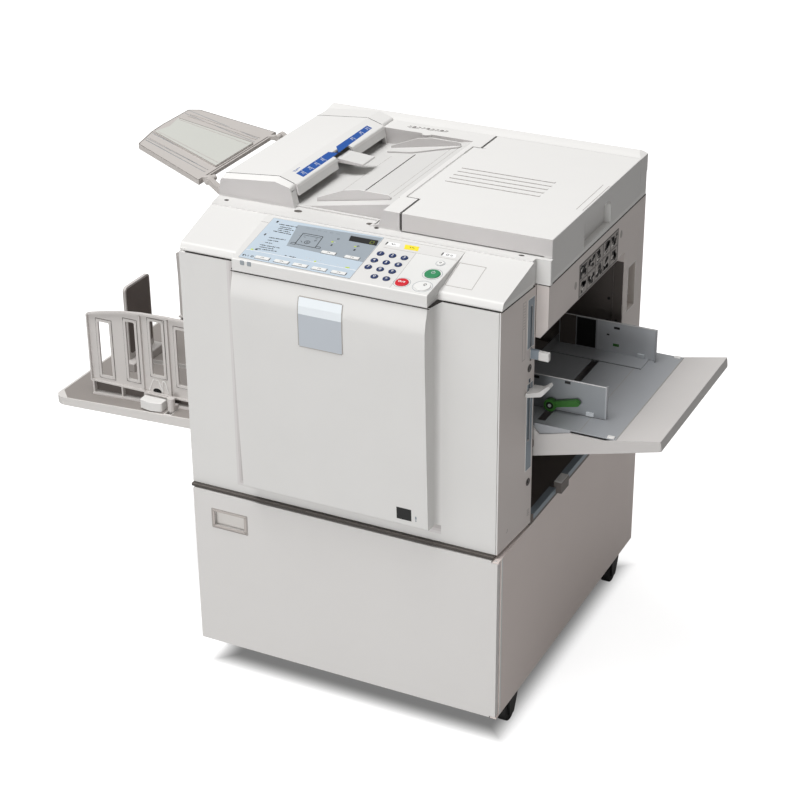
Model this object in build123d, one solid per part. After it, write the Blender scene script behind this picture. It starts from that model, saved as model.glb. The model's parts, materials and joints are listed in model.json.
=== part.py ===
from build123d import *
import os
from math import asin, cos, hypot, radians, sin, sqrt, tan

# Drawn in body coordinates: x from the body's left face, y from its front face, z from the floor, in mm
LEFT_END = -378.0
RIGHT_END = 820.5
DOOR_BULGE_Y = -42.0
CABINET_BACK = 660.0
CENTRE_X = (LEFT_END + RIGHT_END) / 2
CENTRE_Y = (DOOR_BULGE_Y + CABINET_BACK) / 2

# Cabinet
CAB_X0 = 5.0
CAB_X1 = 596.0
CAB_Y0 = 3.0
CAB_Z0 = 55.0
CAB_Z1 = 372.0
CAB_WALL = 8.0
CAB_PIN = (590.0, -6.5)
CASTERS = {"front_left": (21.0, 82.0), "front_right": (580.0, 82.0), "rear_left": (21.0, 588.0),
           "rear_right": (580.0, 588.0)}
WHEEL_R = 20.0
WHEEL_W = 18.0
TRAIL = 12.0
STEM_R = 5.0
AXLE_R = 3.0
FIT = 0.05

# Body
BODY_W = 588.8
SKIN = 3.0
SEAM_Z = 822.4
SEAM_GAP = 1.4
PAN_TOP = CAB_Z1 + 12.7
DOOR_Z0 = CAB_Z1 + 7
DOOR_Z1 = SEAM_Z - 1.9
ABOVE = SEAM_Z + 107
BELOW = SEAM_Z + 8
LEDGE_Y = 112.0
BACK_Y = 578.0
SIDE_X = 618.0
PILLAR_Y = 481.0
DOOR_PIN = (5.0, 5.0)
DOOR_X0 = 122.5
DOOR_X1 = 476.5

# Top
SCAN_TOP = 866.0
COVER_Z0 = SCAN_TOP + 2
COVER_Z1 = SCAN_TOP + 32.5
COVER_X0 = 350.7
COVER_Y0 = 135.0
COVER_Y1 = 543.0
COVER_PIVOT = (329.5, COVER_Z1 - 6.5)
HEAD_PIVOT = (2.0, 890.0)
HEAD_Y0 = 168.0
HEAD_Y1 = 497.0
TAB_PIVOT = (131.0, 892.5)

# Operation panel
PANEL_Y0 = -33.8
PANEL_Z0 = 843.4
PANEL_TILT = 8.0

# Original exit tray
EXIT_PIVOT = (-58.0, 868.0)
EXIT_SLOPE = 13.8
EXIT_Y = 325.0

# Feed tray
FEED_Y0 = 129.0
FEED_Y1 = 476.5
FEED_PIVOT = (590.0, 530.0)
FLOOR_Z = 567.0
LOCK_PIVOT = (603.0, 578.5)
PLATE_FRONT_Y = 193.0
PLATE_REAR_Y = 438.0

# Delivery tray
DEL_Y0 = 110.0
DEL_Y1 = 503.0
DEL_FRONT_Y = 150.0
DEL_REAR_Y = 463.0

# Drum and roller, (x, z) of their axes
DRUM = (270.0, 600.0)
DRUM_R = 88.0
ROLLER = (470.0, 700.0)
ROLLER_R = 20.0


def outline(points):
    """Closed flat outline; a third number on a point rounds that corner."""
    count = len(points)
    arcs = []
    ends = []
    for i, point in enumerate(points):
        here = Vector(point[0], point[1])
        if len(point) == 2:
            ends.append((here, here))
            continue
        before = points[i - 1]
        after = points[(i + 1) % count]
        one = (Vector(before[0], before[1]) - here).normalized()
        two = (Vector(after[0], after[1]) - here).normalized()
        half = radians(one.get_angle(two) / 2)
        reach = point[2] / tan(half)
        middle = (one + two).normalized() * (point[2] / sin(half) - point[2])
        start = here + one * reach
        stop = here + two * reach
        arcs.append(ThreePointArc(start, here + middle, stop))
        ends.append((start, stop))
    lines = []
    for i in range(count):
        start = ends[i][1]
        stop = ends[(i + 1) % count][0]
        if (stop - start).length > 1e-4:
            lines.append(Line(start, stop))
    return make_face(arcs + lines)


def along_x(points, x0, x1):
    """Solid with a Y-Z outline."""
    plane = Plane(origin=(x0, 0, 0), x_dir=(0, 1, 0), z_dir=(1, 0, 0))
    return extrude(plane * outline(points), x1 - x0)


def along_y(points, y0, y1):
    """Solid with an X-Z outline."""
    plane = Plane(origin=(0, y1, 0), x_dir=(1, 0, 0), z_dir=(0, -1, 0))
    return extrude(plane * outline(points), y1 - y0)


def along_z(points, z0, z1):
    """Solid with an X-Y outline."""
    return extrude(Pos(0, 0, z0) * outline(points), z1 - z0)


def block(x0, x1, y0, y1, z0, z1):
    return Pos((x0 + x1) / 2, (y0 + y1) / 2, (z0 + z1) / 2) * Box(x1 - x0, y1 - y0, z1 - z0)


def rod_z(x, y, r, z0, z1):
    return Pos(x, y, (z0 + z1) / 2) * Cylinder(r, z1 - z0)


def rod_y(x, z, r, y0, y1):
    return Pos(x, (y0 + y1) / 2, z) * Rot(90, 0, 0) * Cylinder(r, y1 - y0)


def rod_x(y, z, r, x0, x1):
    return Pos((x0 + x1) / 2, y, z) * Rot(0, 90, 0) * Cylinder(r, x1 - x0)


def mirror_y(shape, y):
    """Mirror image about the plane at y."""
    return mirror(shape, about=Plane(origin=(0, y, 0), z_dir=(0, 1, 0)))


def panel_z(y):
    """Height of the operation panel's tilted top."""
    return PANEL_Z0 + (y - PANEL_Y0) * tan(radians(PANEL_TILT))


def on_panel(x, y, rise=0.0):
    """Place on the operation panel's top, z along its normal."""
    return Pos(x, y, panel_z(y)) * Rot(PANEL_TILT, 0, 0) * Pos(0, 0, rise)


# Cabinet
def cabinet_shell():
    shell = block(CAB_X0, CAB_X1, CAB_Y0, CABINET_BACK, CAB_Z0, CAB_Z1)
    shell -= block(CAB_X0 + CAB_WALL, CAB_X1 - CAB_WALL, 0, CABINET_BACK - CAB_WALL, CAB_Z0 + CAB_WALL,
                   CAB_Z1 - CAB_WALL)
    shell += block(CAB_X0 + CAB_WALL, CAB_X1 - CAB_WALL, 60, CABINET_BACK - CAB_WALL, 205, 211)
    for z0, z1 in ((CAB_Z0, CAB_Z0 + 3), (CAB_Z1 - 3, CAB_Z1)):
        shell += block(585, CAB_X1, -10, 5, z0, z1) - rod_z(*CAB_PIN, 2.5 + FIT, z0 - 1, z1 + 1)
    for x, y in CASTERS.values():
        shell += rod_z(x, y, 11 if 30 < x < 570 else 8.5, CAB_Z0 + 4, 84)
        shell -= rod_z(x, y, STEM_R + FIT, CAB_Z0 - 1, 80)
    return shell


def cabinet_door():
    door = block(CAB_X0, 594, -10, 1.5, CAB_Z0 + 0.5, CAB_Z1 - 0.5)
    door -= block(582.5, 600, -11, 3, CAB_Z0, CAB_Z0 + 3.4)
    door -= block(582.5, 600, -11, 3, CAB_Z1 - 3.4, CAB_Z1)
    door += rod_z(*CAB_PIN, 2.5, CAB_Z0 + 0.5, CAB_Z0 + 4)
    door += rod_z(*CAB_PIN, 2.5, CAB_Z1 - 4, CAB_Z1 - 0.5)
    return door - along_y([(45, 304, 2), (110, 304, 2), (110, 335, 2), (45, 335, 2)], -11, -1.8)


def caster_fork(x, y):
    """Swivelling fork with its stem and axle; the wheel trails towards the front."""
    wy = y - TRAIL
    side = [(y + 10, 50.6), (y + 10, 44), (wy + 8, 14, 4), (wy - 9, 14, 4), (wy - 13, 44), (wy - 13, 50.6)]
    fork = along_x(side, x - 13, x - 10) + along_x(side, x + 10, x + 13)
    fork += block(x - 13, x + 13, wy - 13, y + 10, 48, 54.7)
    fork += rod_z(x, y, STEM_R, 50, 79)
    return fork + rod_x(wy, WHEEL_R, AXLE_R, x - 12, x + 12)


def caster_wheel(x, y):
    wheel = rod_x(y - TRAIL, WHEEL_R, WHEEL_R, x - WHEEL_W / 2, x + WHEEL_W / 2)
    wheel = fillet(wheel.edges().filter_by(GeomType.CIRCLE), 2.5)
    return wheel - rod_x(y - TRAIL, WHEEL_R, AXLE_R + FIT, x - 20, x + 20)


# Lower body
def base_frame():
    """Bottom pan of the machine, standing on the cabinet, with an ear for the front door's pin."""
    pan = block(SKIN, 584, 18, BACK_Y - SKIN, CAB_Z1, PAN_TOP)
    pan -= block(9, 579, 22, BACK_Y - 8, CAB_Z1 - 1, 381.7)
    pan += block(0.5, 585, -7, 19, CAB_Z1 + 1, DOOR_Z0 - 0.7) - rod_z(*DOOR_PIN, 2.5 + FIT, CAB_Z1, 380)
    pan += block(583, 596, 121, 400, CAB_Z1 + 3, 378.8) + block(588, 600, 127, 390, 378, 394)
    return pan + block(596, 611, 228, 262, 384, 405)


def inner_frame():
    """Two bulkheads with the bay's back wall and roof, carrying the drum and the paper feed roller."""
    frame = block(20, 592, 121, 124, PAN_TOP, SEAM_Z) + block(20, 598.5, 485, 488, PAN_TOP, SEAM_Z)
    frame += block(429, 432, 122, 486, PAN_TOP, 744) + block(429, 591.5, 122, 486, 741, 744)
    frame += block(591, 598, 128.6, 486, 741, 744)
    for y0, y1 in ((120, 125), (484, 489)):
        frame -= rod_y(*DRUM, 6 + FIT, y0, y1)
        frame -= rod_y(*ROLLER, 4 + FIT, y0, y1)
    for y in (170, 440):
        frame += rod_z(442, y, 5, PAN_TOP, 742)
    return frame


def left_side_cover():
    cover = block(0, SKIN, 17, BACK_Y - 3.5, DOOR_Z0, SEAM_Z - SEAM_GAP)
    return cover - block(-1, 5, 140, 470, 466, 640)


def right_front_cover():
    """Flared panel between the front door and the feed bay, with slots for the two levers."""
    cover = along_z([(586, 0, 1), (589, 0, 1), (596, 120.7, 2), (596, 124.8), (592.4, 124.8), (592.4, 120), (586, 38)],
                    DOOR_Z0, SEAM_Z - SEAM_GAP)
    cover += block(592.4, 594.5, 118, 124.8, PAN_TOP, 740)
    return cover - block(580, 602, 106.7, 113.3, 692, 790) - block(580, 602, 104.7, 111.3, 545, 660)


def upper_right_cover():
    """Outer skin above the bay and the pillar behind it, with a grip recess in the pillar."""
    skin = along_y([(614, 748), (602, 731.5), (599.8, 731.5), (599.8, 728), (605, 728), (SIDE_X, 746),
                    (SIDE_X, SEAM_Z - SEAM_GAP), (614, SEAM_Z - SEAM_GAP)], 125.4, PILLAR_Y)
    skin += block(598.5, SIDE_X, PILLAR_Y, BACK_Y, DOOR_Z0, SEAM_Z - SEAM_GAP)
    skin -= block(602, 614, PILLAR_Y + SKIN, BACK_Y - SKIN, 382, 830)
    skin += block(598.5, 616, 500, 543, 618, 709)
    skin -= block(602, 620, 503, 540, 621, 706)
    skin += along_y([(596.4, 728), (605, 728), (SIDE_X - 1, 746), (SIDE_X - 1, SEAM_Z - SEAM_GAP),
                     (596.4, SEAM_Z - SEAM_GAP)], 125.4, 128.4)
    return skin


def rear_cover():
    cover = block(0, 598.2, BACK_Y - 3, BACK_Y, DOOR_Z0, SEAM_Z - SEAM_GAP)
    for x in range(60, 540, 24):
        cover -= block(x, x + 10, BACK_Y - 5, BACK_Y + 2, 700, 760)
    return cover


def door_profile(inset):
    """Side profile of the door's raised centre, from the bottom up."""
    curve = [(-30.4, 413), (-32.5, 461), (-37.2, 575), (-40.3, 684), (-41.6, 720), (-42.0, 772), (-40.9, 786),
             (-36.8, 801), (-31.2, DOOR_Z1)]
    points = [Vector(y + inset, z) for y, z in curve]
    low = Vector(points[0].X, 413 + inset)
    high = Vector(points[-1].X, DOOR_Z1 - inset)
    points[0] = low
    points[-1] = high
    edges = [Spline(points[:6]), Spline(points[5:]), Line(high, Vector(8, high.Y)),
             Line(Vector(8, high.Y), Vector(8, low.Y)), Line(Vector(8, low.Y), low)]
    plane = Plane(origin=(90, 0, 0), x_dir=(0, 1, 0), z_dir=(1, 0, 0))
    return extrude(plane * make_face(edges), 420)


def front_door():
    """Full-width door; its pins stand in the base's ear and the operation panel's lip."""
    door = block(0, 585.5, 0, 14, DOOR_Z0, DOOR_Z1)
    door = fillet(door.edges().filter_by(Axis.Z).sort_by(Axis.X)[-1:], 1)
    door -= block(SKIN, 585.5 - SKIN, SKIN, 15, DOOR_Z0 + SKIN, DOOR_Z1 - SKIN)
    plan = [(DOOR_X0 - 9, 1), (DOOR_X0 - 9, 0), (DOOR_X0, -8, 0.1), (DOOR_X0, -60), (DOOR_X1, -60),
            (DOOR_X1, -8, 0.1), (DOOR_X1 + 9, 0), (DOOR_X1 + 9, 1)]
    centre = along_z(plan, 413, DOOR_Z1)
    centre -= rod_z(DOOR_X0 - 9, -9, 9, 400, 830) + rod_z(DOOR_X1 + 9, -9, 9, 400, 830)
    centre = centre & door_profile(0)
    centre = fillet(centre.edges().group_by(Axis.Z)[0].filter_by(Axis.X).sort_by(Axis.Y)[0:1], 4)
    door += centre
    hollow = block(DOOR_X0 + 3, DOOR_X1 - 3, -60, 8, 413, DOOR_Z1) & door_profile(3)
    door -= hollow
    door += block(0, 9, 0.5, 9, DOOR_Z0, DOOR_Z1)
    door += rod_z(*DOOR_PIN, 2.5, 373.5, 824.2)
    return door - block(248.6, 329.4, -50, -41, 714, 801)


# Scanner and covers on top
def scanner_housing():
    """Low case of the scanner with a front ledge and, at the back, the raised strip behind the cover."""
    plan = [(-2, LEDGE_Y + 0.4, 6), (594, LEDGE_Y + 0.4, 1), (594, 126.3), (620, 126.3, 2), (620, 134.6), (603.4, 134.6),
            (603.4, 543.4), (SIDE_X, 543.4), (SIDE_X, BACK_Y, 3), (-8, BACK_Y, 6), (-8, 146, 3)]
    case = along_z(plan, SEAM_Z, SCAN_TOP)
    case -= block(-4, 590, 120, 540, SEAM_Z + 3, SCAN_TOP - 3)
    case -= block(372, 588, 206, 518, SCAN_TOP - 4, SCAN_TOP + 1)
    strip = along_x([(543.4, SCAN_TOP - 1), (543.4, COVER_Z1), (546, COVER_Z1), (560, 901.5, 20), (BACK_Y, 904, 5),
                     (BACK_Y, SCAN_TOP - 1)], -8, SIDE_X)
    strip -= along_y([(597, 906.5), (SIDE_X + 1, 897), (SIDE_X + 1, 912), (597, 912)], 540, 600)
    strip -= along_x([(547, SCAN_TOP), (547, COVER_Z1 - 4.5), (574, 890), (574, SCAN_TOP)], -4, 614)
    case += strip
    case -= block(-9, -3.9, 215, 435, 838, 866.5) - block(-9, -3.9, 228, 422, 838, 866.5)
    return case


def exposure_glass():
    return block(372.2, 587.8, 206.2, 517.8, SCAN_TOP - 3, SCAN_TOP)


def platen_cover():
    """Lid with a deep skirt on the right, a side grip, and a rounded tongue on the left for its hinge."""
    lid = block(COVER_X0, SIDE_X, COVER_Y0, COVER_Y1, COVER_Z0, COVER_Z1)
    lid += block(604, SIDE_X, COVER_Y0, COVER_Y1, SEAM_Z, COVER_Z1)
    lid = fillet(lid.edges().filter_by(Axis.Y).group_by(Axis.Z)[-1].sort_by(Axis.X)[-1:], 1.5)
    lid += block(343.5, COVER_X0 + 1, 474.8, COVER_Y1, COVER_Z0 + 1.2, COVER_Z1)
    lid -= block(COVER_X0 + 3, 601, COVER_Y0 + 3, COVER_Y1 - 3, COVER_Z0 - 1, COVER_Z1 - 5.5)
    lid -= block(607, 615, COVER_Y0 + 3, 270, SEAM_Z - 1, 890) + block(607, 615, 404, COVER_Y1 - 3, SEAM_Z - 1, 890)
    lid -= along_x([(276, 831, 3), (398, 831, 3), (398, 875, 10), (276, 875, 3)], 606.5, 620)
    x, z = COVER_PIVOT
    tongue = along_y([(x, z - 6.5), (COVER_X0 + 1, z - 6.5), (COVER_X0 + 1, z + 6.5), (x, z + 6.5)], 207, 474)
    lid += tongue + rod_y(x, z, 6.5, 207, 474) + rod_y(x, z, 3, 202.4, 478.6)
    for i in range(5):
        lid += block(352, 526, 300 + 17.2 * i, 305 + 17.2 * i, COVER_Z1 - 1, COVER_Z1 + 1)
    return lid


def platen_pad():
    return block(360, 599, 144, 532, SCAN_TOP + 0.3, COVER_Z1 - 5.5)


def head_outline(rise, inset):
    """Feeder head's cross-section; rise lifts its top over the front cap's."""
    return [(-9.5 + inset, SCAN_TOP), (-4.5 + inset, 898 + rise - inset, 6), (103, 908.5 + rise - inset, 3),
            (132 - inset, 901 + 0.6 * rise - inset, 5), (140.5 - inset, SCAN_TOP)]


def feeder_housing():
    """Original table, its walls, the fixed end caps of the feeder head and the hinge blocks."""
    low = Plane(origin=(0, 151, 0), x_dir=(1, 0, 0), z_dir=(0, -1, 0)) * outline(head_outline(0, 0))
    high = Plane(origin=(0, HEAD_Y0 - 0.3, 0), x_dir=(1, 0, 0), z_dir=(0, -1, 0)) * outline(head_outline(5, 0))
    cap = loft([low, high]) - block(-3, 134, 154, HEAD_Y0, SCAN_TOP - 1, 895)
    back = Plane(origin=(0, HEAD_Y1 + 0.3, 0), x_dir=(1, 0, 0), z_dir=(0, -1, 0)) * outline(head_outline(5, 0))
    far = Plane(origin=(0, 543.3, 0), x_dir=(1, 0, 0), z_dir=(0, -1, 0)) * outline(head_outline(4, 0))
    rear_cap = loft([back, far]) - block(-3, 134, HEAD_Y1, 540, SCAN_TOP - 1, 895)
    table = along_y([(141, SCAN_TOP), (141, 868), (165, 870), (316, 897.6), (316, SCAN_TOP)], HEAD_Y0 - 3, 505)
    table -= along_y([(150, SCAN_TOP - 1), (165, 867), (316, 893.6), (330, SCAN_TOP - 1)], HEAD_Y0, 502)
    case = cap + rear_cap + table
    case += block(-6, 341, 160, 543.3, SCAN_TOP, 868.5) + block(340, 348.7, 160, 540, SCAN_TOP, 868.5) - block(346, 350, 206.7, 474.3, 860, 900)
    case += block(-8, -5, HEAD_Y0 - 2, HEAD_Y1 + 2, SCAN_TOP, 877.2)
    front = block(289, 348.2, COVER_Y0, 206.7, SCAN_TOP, COVER_Z1)
    front -= block(296, 344, COVER_Y0 + 3, 199, SCAN_TOP - 1, COVER_Z1 - 4.5)
    front -= block(280, 316, 165, 210, SCAN_TOP - 1, 900)
    front -= along_y([(280, 862), (289, 866), (307, 872), (314, 884), (316.5, 900), (280, 900)], 130, 170)
    case += front
    rear = block(128, 341, 502, 543.3, SCAN_TOP, COVER_Z1) - block(135, 338, 506, 540, SCAN_TOP - 1, COVER_Z1 - 4.5)
    rear += block(314, 341, 474.3, 506, SCAN_TOP, COVER_Z1)
    rear += rod_z(221, 503, 9, 893, COVER_Z1) - block(200, 240, 506, 540, 880, 900)
    case += rear
    side = block(314, 323.6, 200, 480, SCAN_TOP, COVER_Z1)
    case += side
    x, z = COVER_PIVOT
    case -= rod_y(x, z, 6.9, 206.7, 474.3)
    case -= rod_y(x, z, 3 + FIT, 201, 480)
    case -= block(228, 231, 240, 437, 870, 900)
    case -= rod_y(HEAD_PIVOT[0], HEAD_PIVOT[1], 2.5 + FIT, 163.5, 501.5)
    for y0, y1 in ((163.5, HEAD_Y0 - 0.4), (HEAD_Y1 + 0.4, 501.5)):
        case += block(-6, 7, y0, y1, 884, 897) - rod_y(*HEAD_PIVOT, 2.5 + FIT, y0 - 1, y1 + 1)
    return case


def feeder_cover():
    """Lifting cover over the feed path, open towards the table, hinged along its left edge."""
    shell = along_y([(-8, 880), (-4.5, 903, 6), (103, 913.5, 3), (136.6, 903, 4), (141, 884), (137.5, 884),
                     (133.4, 899.6, 3), (103, 910, 3), (-1.6, 900, 4), (-4.8, 880)], HEAD_Y0, HEAD_Y1)
    for y0, y1 in ((HEAD_Y0, HEAD_Y0 + 6), (HEAD_Y1 - 6, HEAD_Y1)):
        shell += along_y([(-4, 884), (-1, 902), (12, 904), (10, 884)], y0, y1)
    shell += rod_y(*HEAD_PIVOT, 2.5, HEAD_Y0 - 4, HEAD_Y0 + 6) + rod_y(*HEAD_PIVOT, 2.5, HEAD_Y1 - 6, HEAD_Y1 + 4)
    shell -= block(122, 150, 311, 371, 880, 915)
    x, z = TAB_PIVOT
    for y0, y1 in ((305, 311), (371, 377)):
        shell += rod_y(x, z, 5, y0, y1) - rod_y(x, z, 1.5 + FIT, y0 - 1, y1 + 1)
        shell -= rod_y(x, z, 1.5 + FIT, y0 - 1, y1 + 1)
    return shell


def feeder_release_tab():
    x, z = TAB_PIVOT
    tab = along_y([(x - 3, z - 2), (x - 3, z + 4, 2), (x + 6, z + 5, 3), (183, 894, 1.5), (183, 890, 1.5),
                   (x + 6, z - 2, 2)], 322, 368)
    tab += rod_y(x, z, 4, 311.4, 370.6)
    return tab + rod_y(x, z, 1.5, 306, 376)


def guide(y, leaf):
    """Upright fin on a leaf-shaped foot lying on the sloping table."""
    base = [870.9 + 0.183 * (x - 165) for x in (163, 216, 244, 302)]
    fin = along_y([(163, base[0]), (302, base[3]), (302, base[3] + 7, 3), (244, base[2] + 18, 12), (216, base[1] + 18, 12),
                   (163, base[0] + 6, 3)], y - 1.5, y + 1.5)
    foot = along_z(leaf, SCAN_TOP, ABOVE)
    slab = along_y([(150, 867.7), (320, 898.8), (320, 901.0), (150, 869.9)], 100, 560)
    return fin + (foot & slab)


def original_guide_rear():
    leaf = [(163, 475.5), (302, 475.5), (302, 467, 3), (219, 443, 40), (163, 454, 3)]
    return guide(474, leaf)


def original_guide_front():
    leaf = [(163, 188.5), (163, 210, 3), (219, 221, 40), (302, 197, 3), (302, 188.5)]
    return guide(190, leaf)


def exit_tray_arms():
    """Two arms on the scanner's left side that carry the tray's knuckles."""
    x, z = EXIT_PIVOT
    arms = block(-11, -8, EXIT_Y - 127, EXIT_Y + 133, 830, 842)
    for y in (EXIT_Y - 133, EXIT_Y + 127):
        arm = along_y([(-8, 828, 2), (-8, 843, 2), (x + 3, z + 5.5), (x - 5, z + 3, 3), (x - 5, z - 4, 3), (x + 4, z - 6)],
                      y, y + 12)
        arm += rod_y(x, z, 6, y, y + 12)
        arm -= rod_y(x, z, 2.5 + FIT, y - 1, y + 13)
        arms += arm
    return arms


def exit_tray_slab(low, high):
    """Sloping layer that the tray's outlines are cut from, low to high above its top."""
    z = EXIT_PIVOT[1]
    slope = tan(radians(EXIT_SLOPE))
    return along_y([(-52, z + low - slope * 21.8), (-52, z + high - slope * 21.8), (-250, z + high + slope * 176.2),
                    (-250, z + low + slope * 176.2)], 150, 500)


def original_exit_tray():
    """Thin moulded tray with turned-down edges, a raised middle and ridges along it."""
    x, z = EXIT_PIVOT
    y = EXIT_Y
    outer = [(-75, y - 133), (-219, y - 101, 5), (-229, y - 40, 60), (-231, y, 200), (-231, y + 90, 30),
             (-216, y + 108, 8), (-75, y + 143)]
    inner = [(-76, y - 129.5), (-216, y - 98, 4), (-226, y - 40, 60), (-228, y, 200), (-228, y + 88, 28),
             (-213, y + 105, 7), (-76, y + 139.5)]
    tray = along_z(outer, BELOW, ABOVE) & exit_tray_slab(-9, 0)
    tray -= along_z(inner, BELOW, ABOVE) & exit_tray_slab(-10, -2)
    raised = [(-79, y - 68, 3), (-226, y - 43, 3), (-219, y, 60), (-226, y + 43, 3), (-79, y + 68, 3)]
    tray += along_z(raised, BELOW, ABOVE) & exit_tray_slab(-1, 2.5)
    for side in (-1, 1):
        for near, far in ((86, 66), (97, 76), (53, 36)):
            ridge = [(-84, y + side * near - 1), (-84, y + side * near + 1), (-218, y + side * far + 1),
                     (-218, y + side * far - 1)]
            tray += along_z(ridge, BELOW, ABOVE) & exit_tray_slab(-1, 3.2 if near == 53 else 1)
    for y0, y1 in ((y - 119.6, y - 108), (y + 114, y + 125.6)):
        tray += rod_y(x, z, 5.5, y0, y1)
        tray += along_y([(x, z - 4), (-80, z - 5), (-80, z + 0.5), (x, z + 4)], y0, y1)
    tray += block(-78, -72, y - 119.6, y + 125.6, 862, 868)
    return tray + rod_y(x, z, 2.5, y - 134, y - 110) + rod_y(x, z, 2.5, y + 116, y + 140)


# Operation panel
def operation_panel():
    """Front cover of the scanner: two wings and a raised centre that carries every key."""
    wings = along_x([(3, SEAM_Z), (8, 834.5, 6), (LEDGE_Y + 0.4, 864.2), (LEDGE_Y + 0.4, SEAM_Z)], -2, 597)
    wings -= along_x([(8, SEAM_Z - 1), (8, SEAM_Z + 3), (13, 832.5), (109, 860), (109, SEAM_Z - 1)], 3, 585)
    plan = [(0, 0), (589, 0), (596, LEDGE_Y + 0.4), (-2, LEDGE_Y + 0.4)]
    wings = wings & along_z(plan, 820, 870)
    y1 = LEDGE_Y + 0.4
    side = [(PANEL_Y0, SEAM_Z), (PANEL_Y0, PANEL_Z0, 2.5), (y1, panel_z(y1)), (y1, SEAM_Z)]
    inner = [(PANEL_Y0 + 3, SEAM_Z - 1), (PANEL_Y0 + 3, panel_z(PANEL_Y0 + 3) - 3.03), (y1 - 3, panel_z(y1 - 3) - 3.03),
             (y1 - 3, SEAM_Z - 1)]
    centre = along_x(side, 100, 480) & along_z([(DOOR_X0 + 1, -34), (477, -34), (478, y1), (108, y1)], 820, 870)
    hollow = along_x(inner, 110, 474.5) & along_z([(DOOR_X0 + 4, -34), (474, -34), (475, y1), (111, y1)], 820, 870)
    panel = wings - along_z([(DOOR_X0 + 4, -34), (474, -34), (475, y1 - 3), (111, y1 - 3)], 821, 862)
    panel = (panel + centre) - hollow
    panel += block(0.5, 10, 3, 12, SEAM_Z, 826)
    panel -= rod_z(*DOOR_PIN, 2.5 + FIT, SEAM_Z - 1, 824.6)
    for x, y, r in KEYS.values():
        panel -= on_panel(x, y) * Cylinder(r + 0.3, 12)
    return panel


NUMBER_SPOTS = [(x, y) for y in (58.0, 35.5, 13.5) for x in (350.0, 371.5, 393.0)] + [(372.7, -9.5), (394.0, -9.5)]
KEYS = {"start_key": (457.3, 27.8, 13.0), "stop_key": (422.4, -11.2, 11.0), "proof_key": (458.4, -11.2, 13.2),
        "reset_key": (455.3, 62.0, 6.0)}
for i, spot in enumerate(NUMBER_SPOTS):
    KEYS["number_key_%d" % (i + 1)] = (spot[0], spot[1], 6.2)


def key(x, y, r):
    """Push key with a crowned top and a lip that keeps it under the panel's skin."""
    cap = fillet(Cylinder(r, 6.2).edges().group_by(Axis.Z)[-1], 0.8)
    body = Pos(0, 0, -1.5) * cap + Pos(0, 0, -4.1) * Cylinder(r + 1.2, 1.2)
    return on_panel(x, y) * body


def panel_overlay():
    """Membrane sheet with its raised mode keys."""
    sheet = along_z([(125.5, 105), (133.4, -27), (337.7, -28), (332, 106)], 820, 880)
    sheet = sheet & (on_panel(230, 40) * Pos(0, 0, 0.25) * Box(240, 150, 0.5))
    for x, y in ((268.6, 31.4), (312, 30.6), (173, -18.5), (208.7, -18.5), (243, -18.5), (278, -18.5), (313.4, -18.5)):
        sheet += on_panel(x, y, 0.8) * Box(25, 6.5, 1.6)
    return sheet


# Paper feed side
def feed_tray_carriage():
    """Lifting frame on two guide rods; its arms hold the tray's pivots."""
    frame = block(435, 450, 125.2, 480, 515, 545)
    for y0, y1 in ((125.2, 128.2), (477, 480)):
        frame += along_y([(435, 515), (435, 545), (597, 540, 7), (597, 520, 7)], y0, y1)
    for y in (170, 440):
        frame -= rod_z(442, y, 5.1, 500, 560)
    return frame - rod_y(*FEED_PIVOT, 3 + FIT, 120, 490)


def feed_tray():
    side = [(578, 562), (578, 514, 4), (592, 505, 4), (819.7, 564.6, 1), (820.5, 567, 1), (817.6, 583, 1.5), (741, 567.2),
            (721.7, 562.4, 20), (660.5, 562.7, 20), (628, 554, 20), (606, 549, 4), (594, 562, 2)]
    tray = along_y(side, FEED_Y0, FEED_Y1)
    plan = [(570, FEED_Y0), (820.5, FEED_Y0, 4), (820.5, FEED_Y1, 4), (570, FEED_Y1)]
    tray = tray & along_z(plan, 480, 600)
    tray -= along_y([(581, 580), (581, 516, 3), (592, 508.2, 3), (741, 547.3), (741, 580)], FEED_Y0 + SKIN,
                    FEED_Y1 - SKIN)
    tray -= along_y([(745, 551), (811, 568.5), (811, 578), (745, 564.2)], FEED_Y0 + SKIN, FEED_Y1 - SKIN)
    tray -= block(577, 582, FEED_Y0 + 3.2, FEED_Y1 - 3.2, 546, 570)
    for y in (170, 290, 360, 430):
        tray += along_y([(612, 511), (738, 544), (738, 565.5), (612, 565.5)], y, y + 3)
    return tray + rod_y(*FEED_PIVOT, 3, 125.3, 131) + rod_y(*FEED_PIVOT, 3, 474, 479.7)


def feed_tray_floor():
    """Metal plate with folded edges and a slot that guides the side plates."""
    y0 = FEED_Y0 + SKIN + 0.5
    y1 = FEED_Y1 - SKIN - 0.5
    plate = block(500, 740.5, y0, y1, 565.5, FLOOR_Z)
    plate += block(500, 660, y0, y0 + 1.5, 548, FLOOR_Z) + block(500, 660, y1 - 1.5, y1, 548, FLOOR_Z)
    plate += block(500, 501.5, y0, y1, 548, FLOOR_Z)
    return plate - block(595, 609, 146, 460, 560, 570)


def side_plate_rear():
    y = PLATE_REAR_Y
    plate = along_y([(515, FLOOR_Z + 0.3), (515, 628, 1), (700, 628, 1), (700, FLOOR_Z + 0.3)], y, y + 1.5)
    plate -= block(548, 585, y - 1, y + 3, 569, 625)
    plate += block(515, 687, 397, y + 1, FLOOR_Z + 0.3, FLOOR_Z + 1.5)
    plate += block(698.5, 700, y - 6, y + 1.5, FLOOR_Z + 0.3, 628)
    return plate + block(596, 608, 402, 432, 560, FLOOR_Z + 1)


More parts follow.
